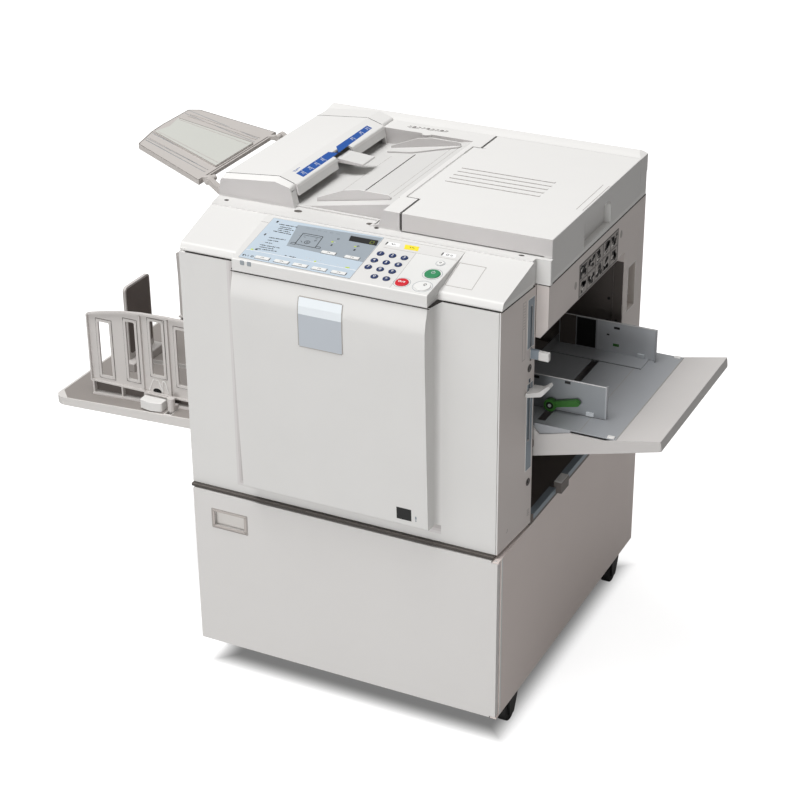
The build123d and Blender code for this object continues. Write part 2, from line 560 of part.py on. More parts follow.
def side_plate_front():
    y = PLATE_FRONT_Y
    plate = along_y([(515, FLOOR_Z + 0.3), (515, 628, 1), (700, 628, 1), (700, FLOOR_Z + 0.3)], y - 1.5, y)
    plate += block(515, 687, y - 1, 220, FLOOR_Z + 0.3, FLOOR_Z + 1.5)
    plate += block(698.5, 700, y - 1.5, y + 6, FLOOR_Z + 0.3, 628)
    plate += block(596, 608, 195, 216, 560, FLOOR_Z + 1)
    return plate + rod_y(*LOCK_PIVOT, 3, 179, y)


def side_plate_lock():
    """Lever that clamps the side plates, turning on the front plate's stud."""
    x, z = LOCK_PIVOT
    lever = rod_y(x, z, 11, 180, 189)
    lever += along_y([(x, z - 4), (x, z + 6), (650, 598, 4), (658, 590, 4), (652, 586, 3)], 181, 188)
    return lever - rod_y(x, z, 3 + FIT, 170, 200)


def feed_pressure_lever():
    lever = block(582, 612, 107.3, 112.7, 697.2, 713) + block(575, 586, 103, 117, 697, 715)
    cap = block(610.6, 628.6, 104.5, 113.4, 697.6, 712.3)
    return lever + fillet(cap.edges(), 1.3)


def separation_lever():
    """Paddle with a turned-up tip lying along the side, on an arm through the panel's lower slot."""
    paddle = along_y([(596.4, 634), (619, 634, 6), (630, 647, 1.5), (627.5, 652, 1.5), (615, 642.5, 8), (596.4, 641)], 88, 126)
    paddle = paddle & along_z([(596.4, 89), (600, 90.2, 2), (623, 104), (630.5, 112, 3), (630.5, 126), (596.4, 126)], 600, 700)
    return paddle + block(582, 600, 105.3, 110.7, 631, 641) + block(575, 586, 101, 115, 629, 653)


# Delivery side
def tray_top(x):
    return 437 + x * 20.5 / 357


def delivery_tray():
    side = [(LEFT_END, tray_top(LEFT_END) - 15, 5), (LEFT_END, tray_top(LEFT_END), 5), (0, 437), (0, 417)]
    tray = along_y(side, DEL_Y0, DEL_Y1)
    tray = tray & along_z([(LEFT_END, DEL_Y0, 30), (LEFT_END, DEL_Y1, 30), (0, DEL_Y1), (0, DEL_Y0)], 380, 450)
    tray -= block(-129, -116, 116, 296, 400, 450) + block(-129, -116, 317, 497, 400, 450)
    tray -= block(-345, -170, 300, 313, 400, 450)
    return tray


def fence(y, cylinder_y):
    """Front delivery fence: slotted board over a ribbed base channel."""
    top = [(-306, 449), (-310, 585, 3), (-275, 594, 60), (-234, 602, 60), (-192, 607, 60), (-134, 609.5, 60), (-20, 608, 5),
           (-20, 449)]
    board = along_y(top, y, y + 2.5)
    for x0, x1, z0, z1 in ((-291, -257, 456, 577), (-230, -201, 461, 589), (-177, -142, 481, 600), (-121, -90, 471, 594)):
        board += along_y([(x0, z0, 7), (x0, z1, 7), (x1, z1, 7), (x1, z0, 7)], y - 1.2, y + 1)
        board -= along_y([(x0 + 5, z0 + 5, 3), (x0 + 5, z1 - 5, 3), (x1 - 5, z1 - 5, 3), (x1 - 5, z0 + 5, 3)], y - 2, y + 4)
    rim = along_y(top, y - 4, y + 2.5) - along_y([(u[0], u[1] - 3.5) + tuple(u[2:]) for u in top], y - 5, y + 3)
    board += rim & block(-320, 0, y - 6, y + 6, 500, 620)
    for x, high in ((-309.4, 583), (-193, 601), (-134, 604)):
        board += block(x, x + 2.5, y - 5, y + 1, 447, high)
    board += block(-310, -20, y - 5, y + 7, 447, 450)
    board += along_y([(-306, tray_top(-306) + 0.4), (-306, tray_top(-306) + 4), (-20, tray_top(-20) + 4),
                      (-20, tray_top(-20) + 0.4)], y - 8, y + 10)
    for x in (-306, -242, -192, -133, -76, -23):
        board += block(x, x + 3, y - 5, y + 7, tray_top(x) + 2, 449)
    board += rod_z(-122.5, cylinder_y, 7, 432, 457) + rod_z(-122.5, cylinder_y, 5.8, 422, 440)
    board += block(-129, -116, cylinder_y, y - 7, 432, 440)
    return board


def delivery_fence_front():
    board = fence(DEL_FRONT_Y, 129) + block(-188, -136, 142, 152, 430, 448)
    return board - rod_y(-162, 440, 3 + FIT, 140, 153)


def delivery_fence_rear():
    return mirror_y(fence(DEL_FRONT_Y, 129), (DEL_FRONT_Y + DEL_REAR_Y) / 2)


def delivery_fence_knob():
    knob = along_z([(-184, 118, 4), (-160, 112.5, 40), (-137, 118, 4), (-137, 137, 2), (-184, 137, 2)], 430, 447.5)
    knob = fillet(knob.edges().group_by(Axis.Z)[-1], 1.5)
    return knob + rod_y(-162, 440, 3, 136, 147)


def delivery_end_fence():
    plate = along_x([(264, 436), (264, 589, 9), (348, 589, 9), (348, 436)], -306, -300)
    base = block(-320, -284, 252, 360, 421, 438) - block(-317, -287, 256, 356, 420, 435)
    return plate + fillet(base.edges().group_by(Axis.Z)[-1], 3) + block(-306, -297, 301, 312, 410, 436)


# Works
def print_drum():
    drum = rod_y(*DRUM, DRUM_R, 135, 475) - rod_y(*DRUM, DRUM_R - 3, 138, 472) + rod_y(*DRUM, 6, 119.5, 489.5)
    return drum - block(240, 300, 134, 139, 560, 580) - block(240, 300, 471, 476, 560, 580)


def paper_feed_roller():
    return rod_y(*ROLLER, ROLLER_R, 240, 370) + rod_y(*ROLLER, 4, 119.5, 489.5)


def all_nodes():
    nodes = {"cabinet_shell": cabinet_shell(), "cabinet_door": cabinet_door(), "base_frame": base_frame(),
             "inner_frame": inner_frame(), "left_side_cover": left_side_cover(),
             "right_front_cover": right_front_cover(), "upper_right_cover": upper_right_cover(),
             "rear_cover": rear_cover(), "front_door": front_door(), "scanner_housing": scanner_housing(),
             "exposure_glass": exposure_glass(), "platen_cover": platen_cover(), "platen_pad": platen_pad(),
             "feeder_housing": feeder_housing(), "feeder_cover": feeder_cover(),
             "feeder_release_tab": feeder_release_tab(), "original_guide_front": original_guide_front(),
             "original_guide_rear": original_guide_rear(), "exit_tray_arms": exit_tray_arms(),
             "original_exit_tray": original_exit_tray(), "operation_panel": operation_panel(),
             "panel_overlay": panel_overlay(), "feed_tray_carriage": feed_tray_carriage(), "feed_tray": feed_tray(),
             "feed_tray_floor": feed_tray_floor(), "side_plate_front": side_plate_front(),
             "side_plate_rear": side_plate_rear(), "side_plate_lock": side_plate_lock(),
             "feed_pressure_lever": feed_pressure_lever(), "separation_lever": separation_lever(),
             "delivery_tray": delivery_tray(), "delivery_fence_front": delivery_fence_front(),
             "delivery_fence_rear": delivery_fence_rear(), "delivery_end_fence": delivery_end_fence(),
             "delivery_fence_knob": delivery_fence_knob(), "print_drum": print_drum(),
             "paper_feed_roller": paper_feed_roller()}
    for name, (x, y) in CASTERS.items():
        nodes["caster_fork_" + name] = caster_fork(x, y)
        nodes["caster_wheel_" + name] = caster_wheel(x, y)
    for name, (x, y, r) in KEYS.items():
        nodes[name] = key(x, y, r)
    return nodes


if __name__ == "__main__":
    os.makedirs("parts", exist_ok=True)
    for name, shape in all_nodes().items():
        solids = shape.solids()
        if len(solids) != 1:
            print(name, "has", len(solids), "solids")
        export_step(Pos(-CENTRE_X, -CENTRE_Y, 0) * shape, "parts/" + name + ".step")
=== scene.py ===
# %% [markdown]
# # A digital duplicator on its cabinet
# The CAD model gives every solid its place. This script loads it as a fixed frame, gives each solid a
# finish of its own, and adds the thin things that are printed, stuck or moulded on: key symbols, scale
# bands, seams, screws and labels. Nothing is moved: every piece goes where the drawing says.

# %% Load the frame
import json
import random
from math import cos, pi, radians, sin, tan
import bpy
import bmesh
from mathutils import Matrix, Vector


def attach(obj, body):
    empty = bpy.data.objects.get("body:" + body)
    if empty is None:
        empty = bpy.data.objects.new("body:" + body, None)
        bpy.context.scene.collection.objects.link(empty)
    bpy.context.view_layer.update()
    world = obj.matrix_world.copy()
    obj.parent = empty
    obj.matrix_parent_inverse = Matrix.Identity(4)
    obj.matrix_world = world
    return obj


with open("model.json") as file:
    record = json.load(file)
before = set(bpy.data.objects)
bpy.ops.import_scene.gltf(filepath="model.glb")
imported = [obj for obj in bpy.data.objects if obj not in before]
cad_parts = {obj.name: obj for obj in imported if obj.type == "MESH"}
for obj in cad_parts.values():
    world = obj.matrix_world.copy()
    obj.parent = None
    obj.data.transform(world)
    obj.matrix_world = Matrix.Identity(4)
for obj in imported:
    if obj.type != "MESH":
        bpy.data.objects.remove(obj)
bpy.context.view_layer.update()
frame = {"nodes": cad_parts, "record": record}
nodes = frame["nodes"]
print("nodes", len(nodes))

# %% [markdown]
# The drawing counts x from the body's left face, y from its front face and z from the floor, in
# millimetres. Blender works in metres about the middle of the outline, so one small function turns the
# first into the second. All later numbers can then be read straight off the drawing.

# %% Millimetres to metres
MIDDLE = Vector((221.25, 309.0, 0.0))


def at(x, y, z):
    return (Vector((x, y, z)) - MIDDLE) / 1000


# %% [markdown]
# The camera comes first, because every judgement is made through it. It stands to the right of the
# machine's front, a little above it, with a long lens, so that upright edges lean only slightly.

# %% Camera
AZIMUTH = radians(26.464)
ELEVATION = radians(27.192)
ROLL = radians(-0.527)
back = Vector((sin(AZIMUTH) * cos(ELEVATION), -cos(AZIMUTH) * cos(ELEVATION), sin(ELEVATION)))
right = Vector((cos(AZIMUTH), sin(AZIMUTH), 0))
up = back.cross(right)
tilted_right = cos(ROLL) * right + sin(ROLL) * up
tilted_up = cos(ROLL) * up - sin(ROLL) * right
camera_data = bpy.data.cameras.new("camera")
camera_data.lens = 89.02
camera_data.sensor_width = 36
camera_data.clip_end = 50
camera = bpy.data.objects.new("camera", camera_data)
bpy.context.collection.objects.link(camera)
pose = Matrix((tilted_right, tilted_up, back)).transposed().to_4x4()
pose.translation = at(1694.9, -2578.1, 2110.0)
camera.matrix_world = pose
bpy.context.scene.camera = camera
bpy.context.scene.view_settings.view_transform = "Standard"
print("camera at", tuple(round(v, 3) for v in pose.translation))

# %% [markdown]
# Studio light for a white office machine: one broad soft lamp above and to the left makes the tops the
# brightest faces, the fronts a shade darker and the right-hand sides clearly darker, which is what gives
# the plain boxes their form. The world adds an even fill. The camera alone sees it as white.

# %% Light
def node_tree(owner):
    owner.use_nodes = True
    owner.node_tree.nodes.clear()
    return owner.node_tree


world = bpy.data.worlds.new("studio")
bpy.context.scene.world = world
tree = node_tree(world)
rays = tree.nodes.new("ShaderNodeLightPath")
fill = tree.nodes.new("ShaderNodeBackground")
fill.inputs["Color"].default_value = (1.0, 0.985, 0.97, 1)
fill.inputs["Strength"].default_value = 0.28
seen = tree.nodes.new("ShaderNodeBackground")
seen.inputs["Color"].default_value = (1, 1, 1, 1)
mix = tree.nodes.new("ShaderNodeMixShader")
out = tree.nodes.new("ShaderNodeOutputWorld")
tree.links.new(rays.outputs["Is Camera Ray"], mix.inputs["Fac"])
tree.links.new(fill.outputs[0], mix.inputs[1])
tree.links.new(seen.outputs[0], mix.inputs[2])
tree.links.new(mix.outputs[0], out.inputs["Surface"])


def lamp(name, place, target, size, watts):
    data = bpy.data.lights.new(name, "AREA")
    data.shape = "SQUARE"
    data.size = size
    data.energy = watts
    lamp_object = bpy.data.objects.new(name, data)
    bpy.context.collection.objects.link(lamp_object)
    lamp_object.location = place
    lamp_object.rotation_euler = (Vector(target) - Vector(place)).to_track_quat("-Z", "Y").to_euler()


lamp("lamp_over", (-0.9, -1.1, 6.0), (0, 0, 0.4), 3.4, 303)
lamp("lamp_front", (0.1, -4.6, 0.3), (0, 0, 0.3), 1.8, 99)

# %% [markdown]
# A shader is easier to read as arithmetic than as wires. This class wraps one output socket, so that
# `mask * 0.2 + 0.4` builds the Math nodes by itself, and one method makes any other node from its type,
# its settings and its inputs.

# %% Sockets as numbers
class Flow:
    def __init__(self, tree, socket=None):
        self.tree = tree
        self.socket = socket

    def node(self, kind, settings=None, out=0, **sockets):
        made = self.tree.nodes.new("ShaderNode" + kind)
        for key, value in (settings or {}).items():
            setattr(made, key, value)
        for key, value in sockets.items():
            numbered = key[0] == "i" and key[1:].isdigit()
            target = made.inputs[int(key[1:]) if numbered else key.replace("_", " ")]
            if isinstance(value, Flow):
                self.tree.links.new(value.socket, target)
            else:
                target.default_value = value
        return Flow(self.tree, made.outputs[out])

    def maths(self, operation, other):
        return self.node("Math", {"operation": operation}, i0=self, i1=other)

    def __add__(self, other):
        return self.maths("ADD", other)

    def __sub__(self, other):
        return self.maths("SUBTRACT", other)

    def __mul__(self, other):
        return self.maths("MULTIPLY", other)

    def over(self, low, high):
        """0 at low, 1 at high."""
        return self.node("MapRange", i0=self, i1=low, i2=high)

    def tint(self, colour, other):
        """Colour where this is 0, other where it is 1."""
        return self.node("Mix", {"data_type": "RGBA"}, out=2, i0=self, i6=colour, i7=other)


# %% [markdown]
# Moulded office plastic is hardly ever smooth. The tool leaves a fine even texture, a few tenths of a
# millimetre across, that breaks up the gloss, and handling adds faint cloudy changes in sheen. Both come
# from noise in object space, so they keep their real size on any piece.

# %% A finish for mouldings
def linear(value):
    return value / 12.92 if value <= 0.04045 else ((value + 0.055) / 1.055) ** 2.4


def hex_colour(text):
    parts = [int(text[i:i + 2], 16) / 255 for i in (0, 2, 4)]
    return tuple(linear(p) for p in parts) + (1.0,)


def new_material(name):
    material = bpy.data.materials.new(name)
    tree = node_tree(material)
    out = tree.nodes.new("ShaderNodeOutputMaterial")
    shader = tree.nodes.new("ShaderNodeBsdfPrincipled")
    tree.links.new(shader.outputs[0], out.inputs["Surface"])
    return material, shader, Flow(tree)


SHEEN_SPREAD = 0.08
# Tint and factor of the painted shade: on fronts above the ledge, and on faces that look up.
PAINTED_SHADE_TINT = (1.0, 0.975, 0.985)
PAINTED_TOP_SHADE = 0.87


def finish(name, colour, rough, grain, depth, cloud, metallic=0.0, coat=0.0, painted_front_shade=0.0):
    """A solid finish with a fine surface texture and a faint cloudy change of tone and sheen. With the
    front-shade share set, front faces above the scanner's ledge are darkened by that share, as painted shade.
    The faces that look up, from the panel's height to just below the covers' tops, are then darkened by a fixed
    factor, also painted shade."""
    material, shader, flow = new_material(name)
    place = flow.node("TexCoord", out=3)
    broad = flow.node("TexNoise", Vector=place, Scale=9.0, Detail=3.0)
    fine = flow.node("TexNoise", Vector=place, Scale=grain, Detail=2.0)
    base = hex_colour(colour)
    darker = tuple(c * (1 - 2 * cloud) for c in base[:3]) + (1.0,)
    shade = broad.over(0.35, 0.7).tint(base, darker)
    if painted_front_shade:
        # Painted shade on the fronts above the ledge.
        level = flow.node("SeparateXYZ", out=2, Vector=place)
        facing = flow.node("SeparateXYZ", out=1, Vector=flow.node("TexCoord", out=1))
        painted_front_mask = level.over(0.864, 0.87) * facing.over(-0.3, -0.9)
        painted_shade_colour = tuple(c * k * (1 - painted_front_shade) for c, k in zip(base, PAINTED_SHADE_TINT)) + (1.0,)
        shade = painted_front_mask.tint(shade, painted_shade_colour)
        # Painted shade on the faces that look up, from the panel's height to the covers' tops.
        low = level.over(0.828, 0.83) * level.over(0.8976, 0.8973) * facing.over(-0.7, -0.3)
        shade = low.tint(shade, tuple(c * PAINTED_TOP_SHADE for c in base[:3]) + (1.0,))
    bump = flow.node("Bump", Height=fine, Strength=depth, Distance=0.0003)
    rougher = broad * (2 * SHEEN_SPREAD) + (rough - SHEEN_SPREAD)
    tree = material.node_tree
    tree.links.new(shade.socket, shader.inputs["Base Color"])
    tree.links.new(rougher.socket, shader.inputs["Roughness"])
    tree.links.new(bump.socket, shader.inputs["Normal"])
    shader.inputs["Metallic"].default_value = metallic
    shader.inputs["Coat Weight"].default_value = coat
    return material


# Colour, roughness, grains per metre, depth of the grain, cloudiness, and what else sets it apart.
LOOKS = {
    "cabinet_side": ("E7DCD7", 0.55, 500, 0.12, 0.006),
    "cabinet_front": ("DCDAD8", 0.5, 500, 0.10, 0.006),
    "frame_metal": ("6E6763", 0.5, 400, 0.1, 0.02, {"metallic": 0.1}),
    "body_plastic": ("DAD2CE", 0.5, 1100, 0.12, 0.01),
    "front_plastic": ("E0DFDD", 0.48, 1100, 0.10, 0.01),
    "top_plastic": ("E5E4E2", 0.5, 1100, 0.10, 0.01, {"painted_front_shade": 0.27}),
    "white_foam": ("F0F0EE", 0.9, 700, 0.4, 0.02),
    "tray_plastic": ("C4BFBB", 0.4, 600, 0.05, 0.02),
    "membrane": ("BCCAD6", 0.35, 900, 0.04, 0.008),
    "sheet_metal": ("ABAEB2", 0.42, 700, 0.06, 0.02, {"metallic": 0.15}),
    "green_plastic": ("2E6B1E", 0.35, 800, 0.05, 0.03),
    "delivery_plastic": ("D9D6D3", 0.48, 900, 0.1, 0.01),
    "dark_taupe": ("6E6561", 0.5, 800, 0.08, 0.02),
    "fence_plastic": ("CDC9C6", 0.45, 800, 0.08, 0.01),
    "drum_metal": ("A9A9AB", 0.35, 500, 0.05, 0.03, {"metallic": 0.9}),
    "roller_rubber": ("2A2A2A", 0.8, 900, 0.3, 0.04),
    "caster_plastic": ("151515", 0.45, 600, 0.08, 0.05),
    "caster_rubber": ("0F0F0F", 0.75, 700, 0.2, 0.05),
    "key_green": ("2F8A5B", 0.3, 900, 0.03, 0.02, {"coat": 0.2}),
    "key_red": ("D0182A", 0.3, 900, 0.03, 0.02, {"coat": 0.2}),
    "key_white": ("E6E6E4", 0.35, 900, 0.03, 0.01, {"coat": 0.1}),
    "key_blue": ("1B2F5E", 0.3, 900, 0.03, 0.02, {"coat": 0.2}),
    "ink_black": ("161616", 0.45, 700, 0.02, 0.02),
    "ink_grey": ("8F979E", 0.5, 700, 0.02, 0.02),
    "ink_pale": ("C9CED2", 0.5, 700, 0.02, 0.02),
    "ink_blue": ("1F55A5", 0.45, 700, 0.02, 0.03),
    "ink_white": ("EDEDED", 0.45, 700, 0.02, 0.01),
    "painted_gap_shade": ("2B2725", 0.8, 500, 0.05, 0.05),
    "soft_seam_and_shade": ("A8A39F", 0.7, 500, 0.05, 0.03),
    "edge_light": ("E8E7E5", 0.45, 900, 0.05, 0.01),
    "rail_blue_grey": ("8E99A3", 0.45, 700, 0.06, 0.03),
    "panel_grey": ("98A1A9", 0.4, 900, 0.03, 0.02),
    "painted_grip_side_shade": ("C9C2BC", 0.5, 900, 0.03, 0.01),
    "label_dark": ("2E2A28", 0.5, 900, 0.03, 0.02),
    "label_pale": ("E9E5E1", 0.5, 900, 0.03, 0.01),
    "plug_grey": ("A8A29E", 0.5, 900, 0.06, 0.01),
    "tray_centre": ("CBCCC6", 0.45, 700, 0.03, 0.01),
    "painted_recess_shade": ("5B5450", 0.6, 700, 0.05, 0.02),
    "seam_grey": ("8C8682", 0.7, 500, 0.05, 0.03),
    "feed_plastic": ("CBC8C6", 0.48, 1100, 0.1, 0.01),
    "painted_tray_shade": ("938D89", 0.55, 900, 0.1, 0.01),
    "fence_line": ("5E5855", 0.6, 700, 0.03, 0.02),
    "painted_shade_one": ("D7D4D3", 0.5, 1100, 0.08, 0.01),
    "painted_shade_two": ("CBC7C6", 0.5, 1100, 0.08, 0.01),
    "painted_shade_three": ("BBB6B5", 0.5, 1100, 0.08, 0.01),
    "painted_grip_shade_dark": ("A3A2A0", 0.5, 1100, 0.08, 0.01),
    "painted_grip_shade_mid": ("C0BFBD", 0.5, 1100, 0.08, 0.01),
    "painted_lit_plate": ("C6C9CD", 0.42, 700, 0.06, 0.02, {"metallic": 0.15}),
    "painted_shaded_plate": ("93979B", 0.42, 700, 0.06, 0.02, {"metallic": 0.15}),
    "painted_join_shade": ("4A4541", 0.6, 700, 0.05, 0.02),
    "pull_taupe": ("BDB6B1", 0.45, 700, 0.06, 0.01),
    "pull_inside": ("E6E3DF", 0.5, 700, 0.06, 0.01),
    "void_black": ("0A0A0A", 0.9, 500, 0.02, 0.02),
    "yellow_tag": ("F2DC2A", 0.5, 700, 0.02, 0.02),
    "key_field": ("DEDEDC", 0.45, 1000, 0.05, 0.01),
    "digit_olive": ("8A9A2E", 0.5, 700, 0.02, 0.02),
    "ink_olive": ("6E6A1E", 0.5, 700, 0.02, 0.02),
    "lamp_lime": ("C3DA2C", 0.35, 900, 0.02, 0.02),
    "plate_grey": ("BFC5CC", 0.4, 900, 0.04, 0.01),
    "plate_pale": ("EAF0F4", 0.4, 900, 0.04, 0.01),
    "screw_steel": ("77726E", 0.4, 500, 0.05, 0.05, {"metallic": 0.5})}
finishes = {}
for name, (colour, rough, grain, depth, cloud, *extra) in LOOKS.items():
    finishes[name] = finish(name, colour, rough, grain, depth, cloud, **(extra[0] if extra else {}))
glass, glass_shader, flow = new_material("glass")
glass_shader.inputs["Base Color"].default_value = (0.75, 0.85, 0.84, 1)
glass_shader.inputs["Roughness"].default_value = 0.05
glass_shader.inputs["Transmission Weight"].default_value = 0.8
finishes["glass"] = glass
for part in frame["record"]["subparts"]:
    cad = nodes[part["node"]]
    cad.data.materials.clear()
    cad.data.materials.append(finishes[part["material_slot"]])
print("finishes", len(finishes))

# %% [markdown]
# The floor is a plain white sheet that takes the machine's shadow. It glows for the camera alone, except below
# the cabinet, where glow and colour fade into a painted shadow. It is part of the studio, not of the object.

# %% Floor
# Axis, middle and half width of the painted shadow's patch, in metres.
PAINTED_SHADOW_PATCH = ((0, 0.0875, 0.304), (1, 0.016, 0.335))
PAINTED_SHADOW_COLOUR = (0.05, 0.05, 0.05, 1)
OPEN_FLOOR = (0.5, 0.5, 0.5, 1)
bpy.ops.mesh.primitive_plane_add(size=24, location=(0, 0, 0))
floor = bpy.context.object
floor.name = "floor"
material, shader, flow = new_material("floor_white")
shader.inputs["Roughness"].default_value = 0.9
ground = flow.node("TexCoord", out=3)
beyond = []
for axis, middle, half in PAINTED_SHADOW_PATCH:
    offset = flow.node("SeparateXYZ", out=axis, Vector=ground) - middle
    beyond.append(offset.maths("ABSOLUTE", 0.0) - half)
outside = beyond[0].maths("MAXIMUM", beyond[1])
rays = flow.node("LightPath")
fade = {"interpolation_type": "SMOOTHSTEP"}
# Painted shadow: glow and colour fade out towards the cabinet's footprint.
clear = flow.node("MapRange", fade, i0=outside, i1=-0.05, i2=0.004, i3=0.2, i4=1.0)
share = rays * clear
glow = flow.node("Emission", Color=(1, 1, 1, 1), Strength=0.84)
dark = flow.node("Emission", Color=(0, 0, 0, 1), Strength=0.0)
lift = flow.node("MixShader", i0=share, i1=dark, i2=glow)
tree = material.node_tree
total = tree.nodes.new("ShaderNodeAddShader")
tree.links.new(clear.tint(PAINTED_SHADOW_COLOUR, OPEN_FLOOR).socket, shader.inputs["Base Color"])
tree.links.new(shader.outputs[0], total.inputs[0])
tree.links.new(lift.socket, total.inputs[1])
tree.links.new(total.outputs[0], tree.nodes["Material Output"].inputs["Surface"])
floor.data.materials.append(material)

# %% [markdown]
# Almost everything left to add is thin and lies on a face: ink, stickers, screws, trim. So each face of the
# machine gets a small function that turns two measures on it, and a height above it, into a point. One
# helper then raises any flat outline off that face, and a bevel modifier softens the larger ones. Most faces
# are square to an axis, so three makers give their functions.

# %% Outlines on a face
def faces_front(y):
    return lambda u, v, rise: at(u, y - rise, v)


def faces_right(x):
    return lambda u, v, rise: at(x + rise, u, v)


def faces_up(z):
    return lambda u, v, rise: at(u, v, z + rise)


def flat_pieces(name, spot, outlines, low, high, paint, body="machine", soft=0.0):
    """Raises each outline from low to high above the face that spot describes."""
    mesh = bmesh.new()
    for outline in outlines:
        bottom = [mesh.verts.new(spot(u, v, low)) for u, v in outline]
        top = [mesh.verts.new(spot(u, v, high)) for u, v in outline]
        mesh.faces.new(top)
        mesh.faces.new(bottom[::-1])
        for i in range(len(outline)):
            j = (i + 1) % len(outline)
            mesh.faces.new((bottom[i], bottom[j], top[j], top[i]))
    bmesh.ops.recalc_face_normals(mesh, faces=mesh.faces)
    data = bpy.data.meshes.new(name)
    mesh.to_mesh(data)
    mesh.free()
    piece = bpy.data.objects.new(name, data)
    bpy.context.collection.objects.link(piece)
    data.materials.append(finishes[paint])
    if soft:
        bevel = piece.modifiers.new("soft_edges", "BEVEL")
        bevel.width = soft / 1000
        bevel.segments = 3
        bevel.limit_method = "ANGLE"
        data.shade_smooth()
        bevel.harden_normals = True
    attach(piece, body)


def box2(u0, u1, v0, v1, r=0.0):
    """Rectangle, its corners rounded by r."""
    if not r:
        return [(u0, v0), (u1, v0), (u1, v1), (u0, v1)]
    points = []
    corners = ((u1 - r, v0 + r, -90), (u1 - r, v1 - r, 0), (u0 + r, v1 - r, 90), (u0 + r, v0 + r, 180))
    for cu, cv, start in corners:
        for step in range(5):
            a = radians(start + step * 22.5)
            points.append((cu + r * cos(a), cv + r * sin(a)))
    return points


def oval(u, v, ru, rv=None, count=28):
    rv = ru if rv is None else rv
    return [(u + ru * cos(2 * pi * i / count), v + rv * sin(2 * pi * i / count)) for i in range(count)]


def bar(u0, v0, u1, v1, width):
    """A straight line of some width."""
    along = Vector((u1 - u0, v1 - v0)).normalized()
    across = Vector((-along.y, along.x)) * width / 2
    ends = ((u0, v0, -1), (u1, v1, -1), (u1, v1, 1), (u0, v0, 1))
    return [(u + side * across.x, v + side * across.y) for u, v, side in ends]


def ring(u, v, outer, inner, count=32, squash=1.0):
    """A ring as a list of short pieces."""
    parts = []
    for i in range(count):
        a, b = 2 * pi * i / count, 2 * pi * (i + 1) / count
        parts.append([(u + outer * cos(a), v + squash * outer * sin(a)), (u + outer * cos(b),
            v + squash * outer * sin(b)), (u + inner * cos(b), v + squash * inner * sin(b)),
            (u + inner * cos(a), v + squash * inner * sin(a))])
    return parts


def frame_lines(u0, u1, v0, v1, width):
    ends = ((u0, v0, u1, v0), (u0, v1, u1, v1), (u0, v0, u0, v1), (u1, v0, u1, v1))
    return [bar(*line, width) for line in ends]


# %% [markdown]
# The operation panel tilts eight degrees towards the user. Its left two thirds are one printed membrane:
# pale blue, with a grey field that shows the machine as a line drawing, a black display window, and rows
# of indicator words. The words are only grey and black dashes here, since nothing on it is lettered.

# %% The operation panel's face
TILT = radians(8)


def panel_spot(x, y, rise):
    place = at(x, y, 843.4 + (y + 33.8) * tan(TILT))
    return place + Vector((0, -sin(TILT), cos(TILT))) * rise / 1000


flat_pieces("panel_grey_field", panel_spot, [[(176, 97), (331, 103.5), (335.2, 24), (191, 30)]], 0.4, 0.62,
            "panel_grey")
flat_pieces("panel_window", panel_spot, [[(277.5, 93.5), (328.5, 93.7), (332.5, 77.9), (281.5, 77.9)]], 0.5,
            0.9, "ink_black")
digit = [bar(318, 88.5, 324, 88.5, 0.8), bar(318, 80.5, 324, 80.5, 0.8), bar(318, 88.5, 318, 80.5, 0.8),
    bar(324, 88.5, 324, 80.5, 0.8)]
flat_pieces("display_digit", panel_spot, digit, 0.85, 0.95, "digit_olive")
WORD_ROWS = ((144.8, 89, 179.6, 89.8), (150, 76.5, 178.7, 77.6), (146, 66, 180.8, 64.6),
             (150, 44.5, 181.4, 46), (151.8, 28.4, 166, 28.1), (147.5, 19, 184.5, 19.5), (148, 6, 185.2, 8.3),
             (150, 82, 172, 82.8), (152, 71, 176, 70.6), (152, 36.5, 172, 37.4), (150, 12.6, 176, 13.4))
words = []
for u0, v0, u1, v1 in WORD_ROWS:
    steps = int((u1 - u0) / 3.1)
    for i in range(steps):
        a = u0 + (u1 - u0) * i / steps
        wide = 2.2 if (i * 7 + int(v0)) % 5 else 1.1
        words.append(bar(a, v0 + (v1 - v0) * i / steps, a + wide + 0.4, v0 + (v1 - v0) * i / steps,
            2.1 if i % 3 else 1.2))
words += [box2(136.3, 139.5, 92.5, 98), box2(137.6, 140.2, 48.4, 54.2), box2(147, 151.5, 1.5, 4.6)]
for start in (204, 212.5):
    words += [bar(start, 1 + i % 2, start + 3, 1.4, 1.2) for i in range(2)]
words += [bar(215 + 3.4 * i, 1.2, 217.4 + 3.4 * i, 1.4, 2.4 if i % 2 else 1.0) for i in range(3)]
words += [box2(136.5, 139, -21.5, -17), bar(140, -17, 143.5, -21, 1.0), bar(146, -17, 147, -21, 0.9)]
words += ring(154, -19, 2.6, 1.6, 12) + [box2(260, 262.5, 53.5, 58), box2(302.8, 306, 52, 56.5)]
words += ring(262.6, 77.2, 2.2, 1.2, 12) + ring(304.5, 67, 2.2, 1.2, 12)
flat_pieces("panel_words", panel_spot, words, 0.45, 0.72, "ink_black")
drawing = [bar(197.9, 75.5, 235.1, 75.5, 1.2), bar(201.4, 40, 239.4, 39, 1.2), bar(198, 75.5, 201.4, 40, 1.2),
    bar(235.1, 75.5, 239.4, 39, 1.2), bar(201, 70.5, 234, 70.5, 0.8), bar(194.6, 43, 203, 43, 1.0),
    bar(194.6, 38, 203, 38, 1.0), bar(194.6, 43, 193, 38, 1.0), bar(238, 44, 247, 44, 1.0), bar(238, 39, 248,
    39, 1.0), bar(247, 44, 248.5, 39, 1.0), bar(204, 65, 208, 65, 0.9), bar(226, 66, 230, 66, 0.9),
    bar(206, 52, 210, 48, 0.9)]
drawing += ring(218.5, 51, 5.2, 4.2, 20) + ring(218.5, 51, 2.2, 1.4, 12) + ring(229, 60, 2.0, 1.3, 10)
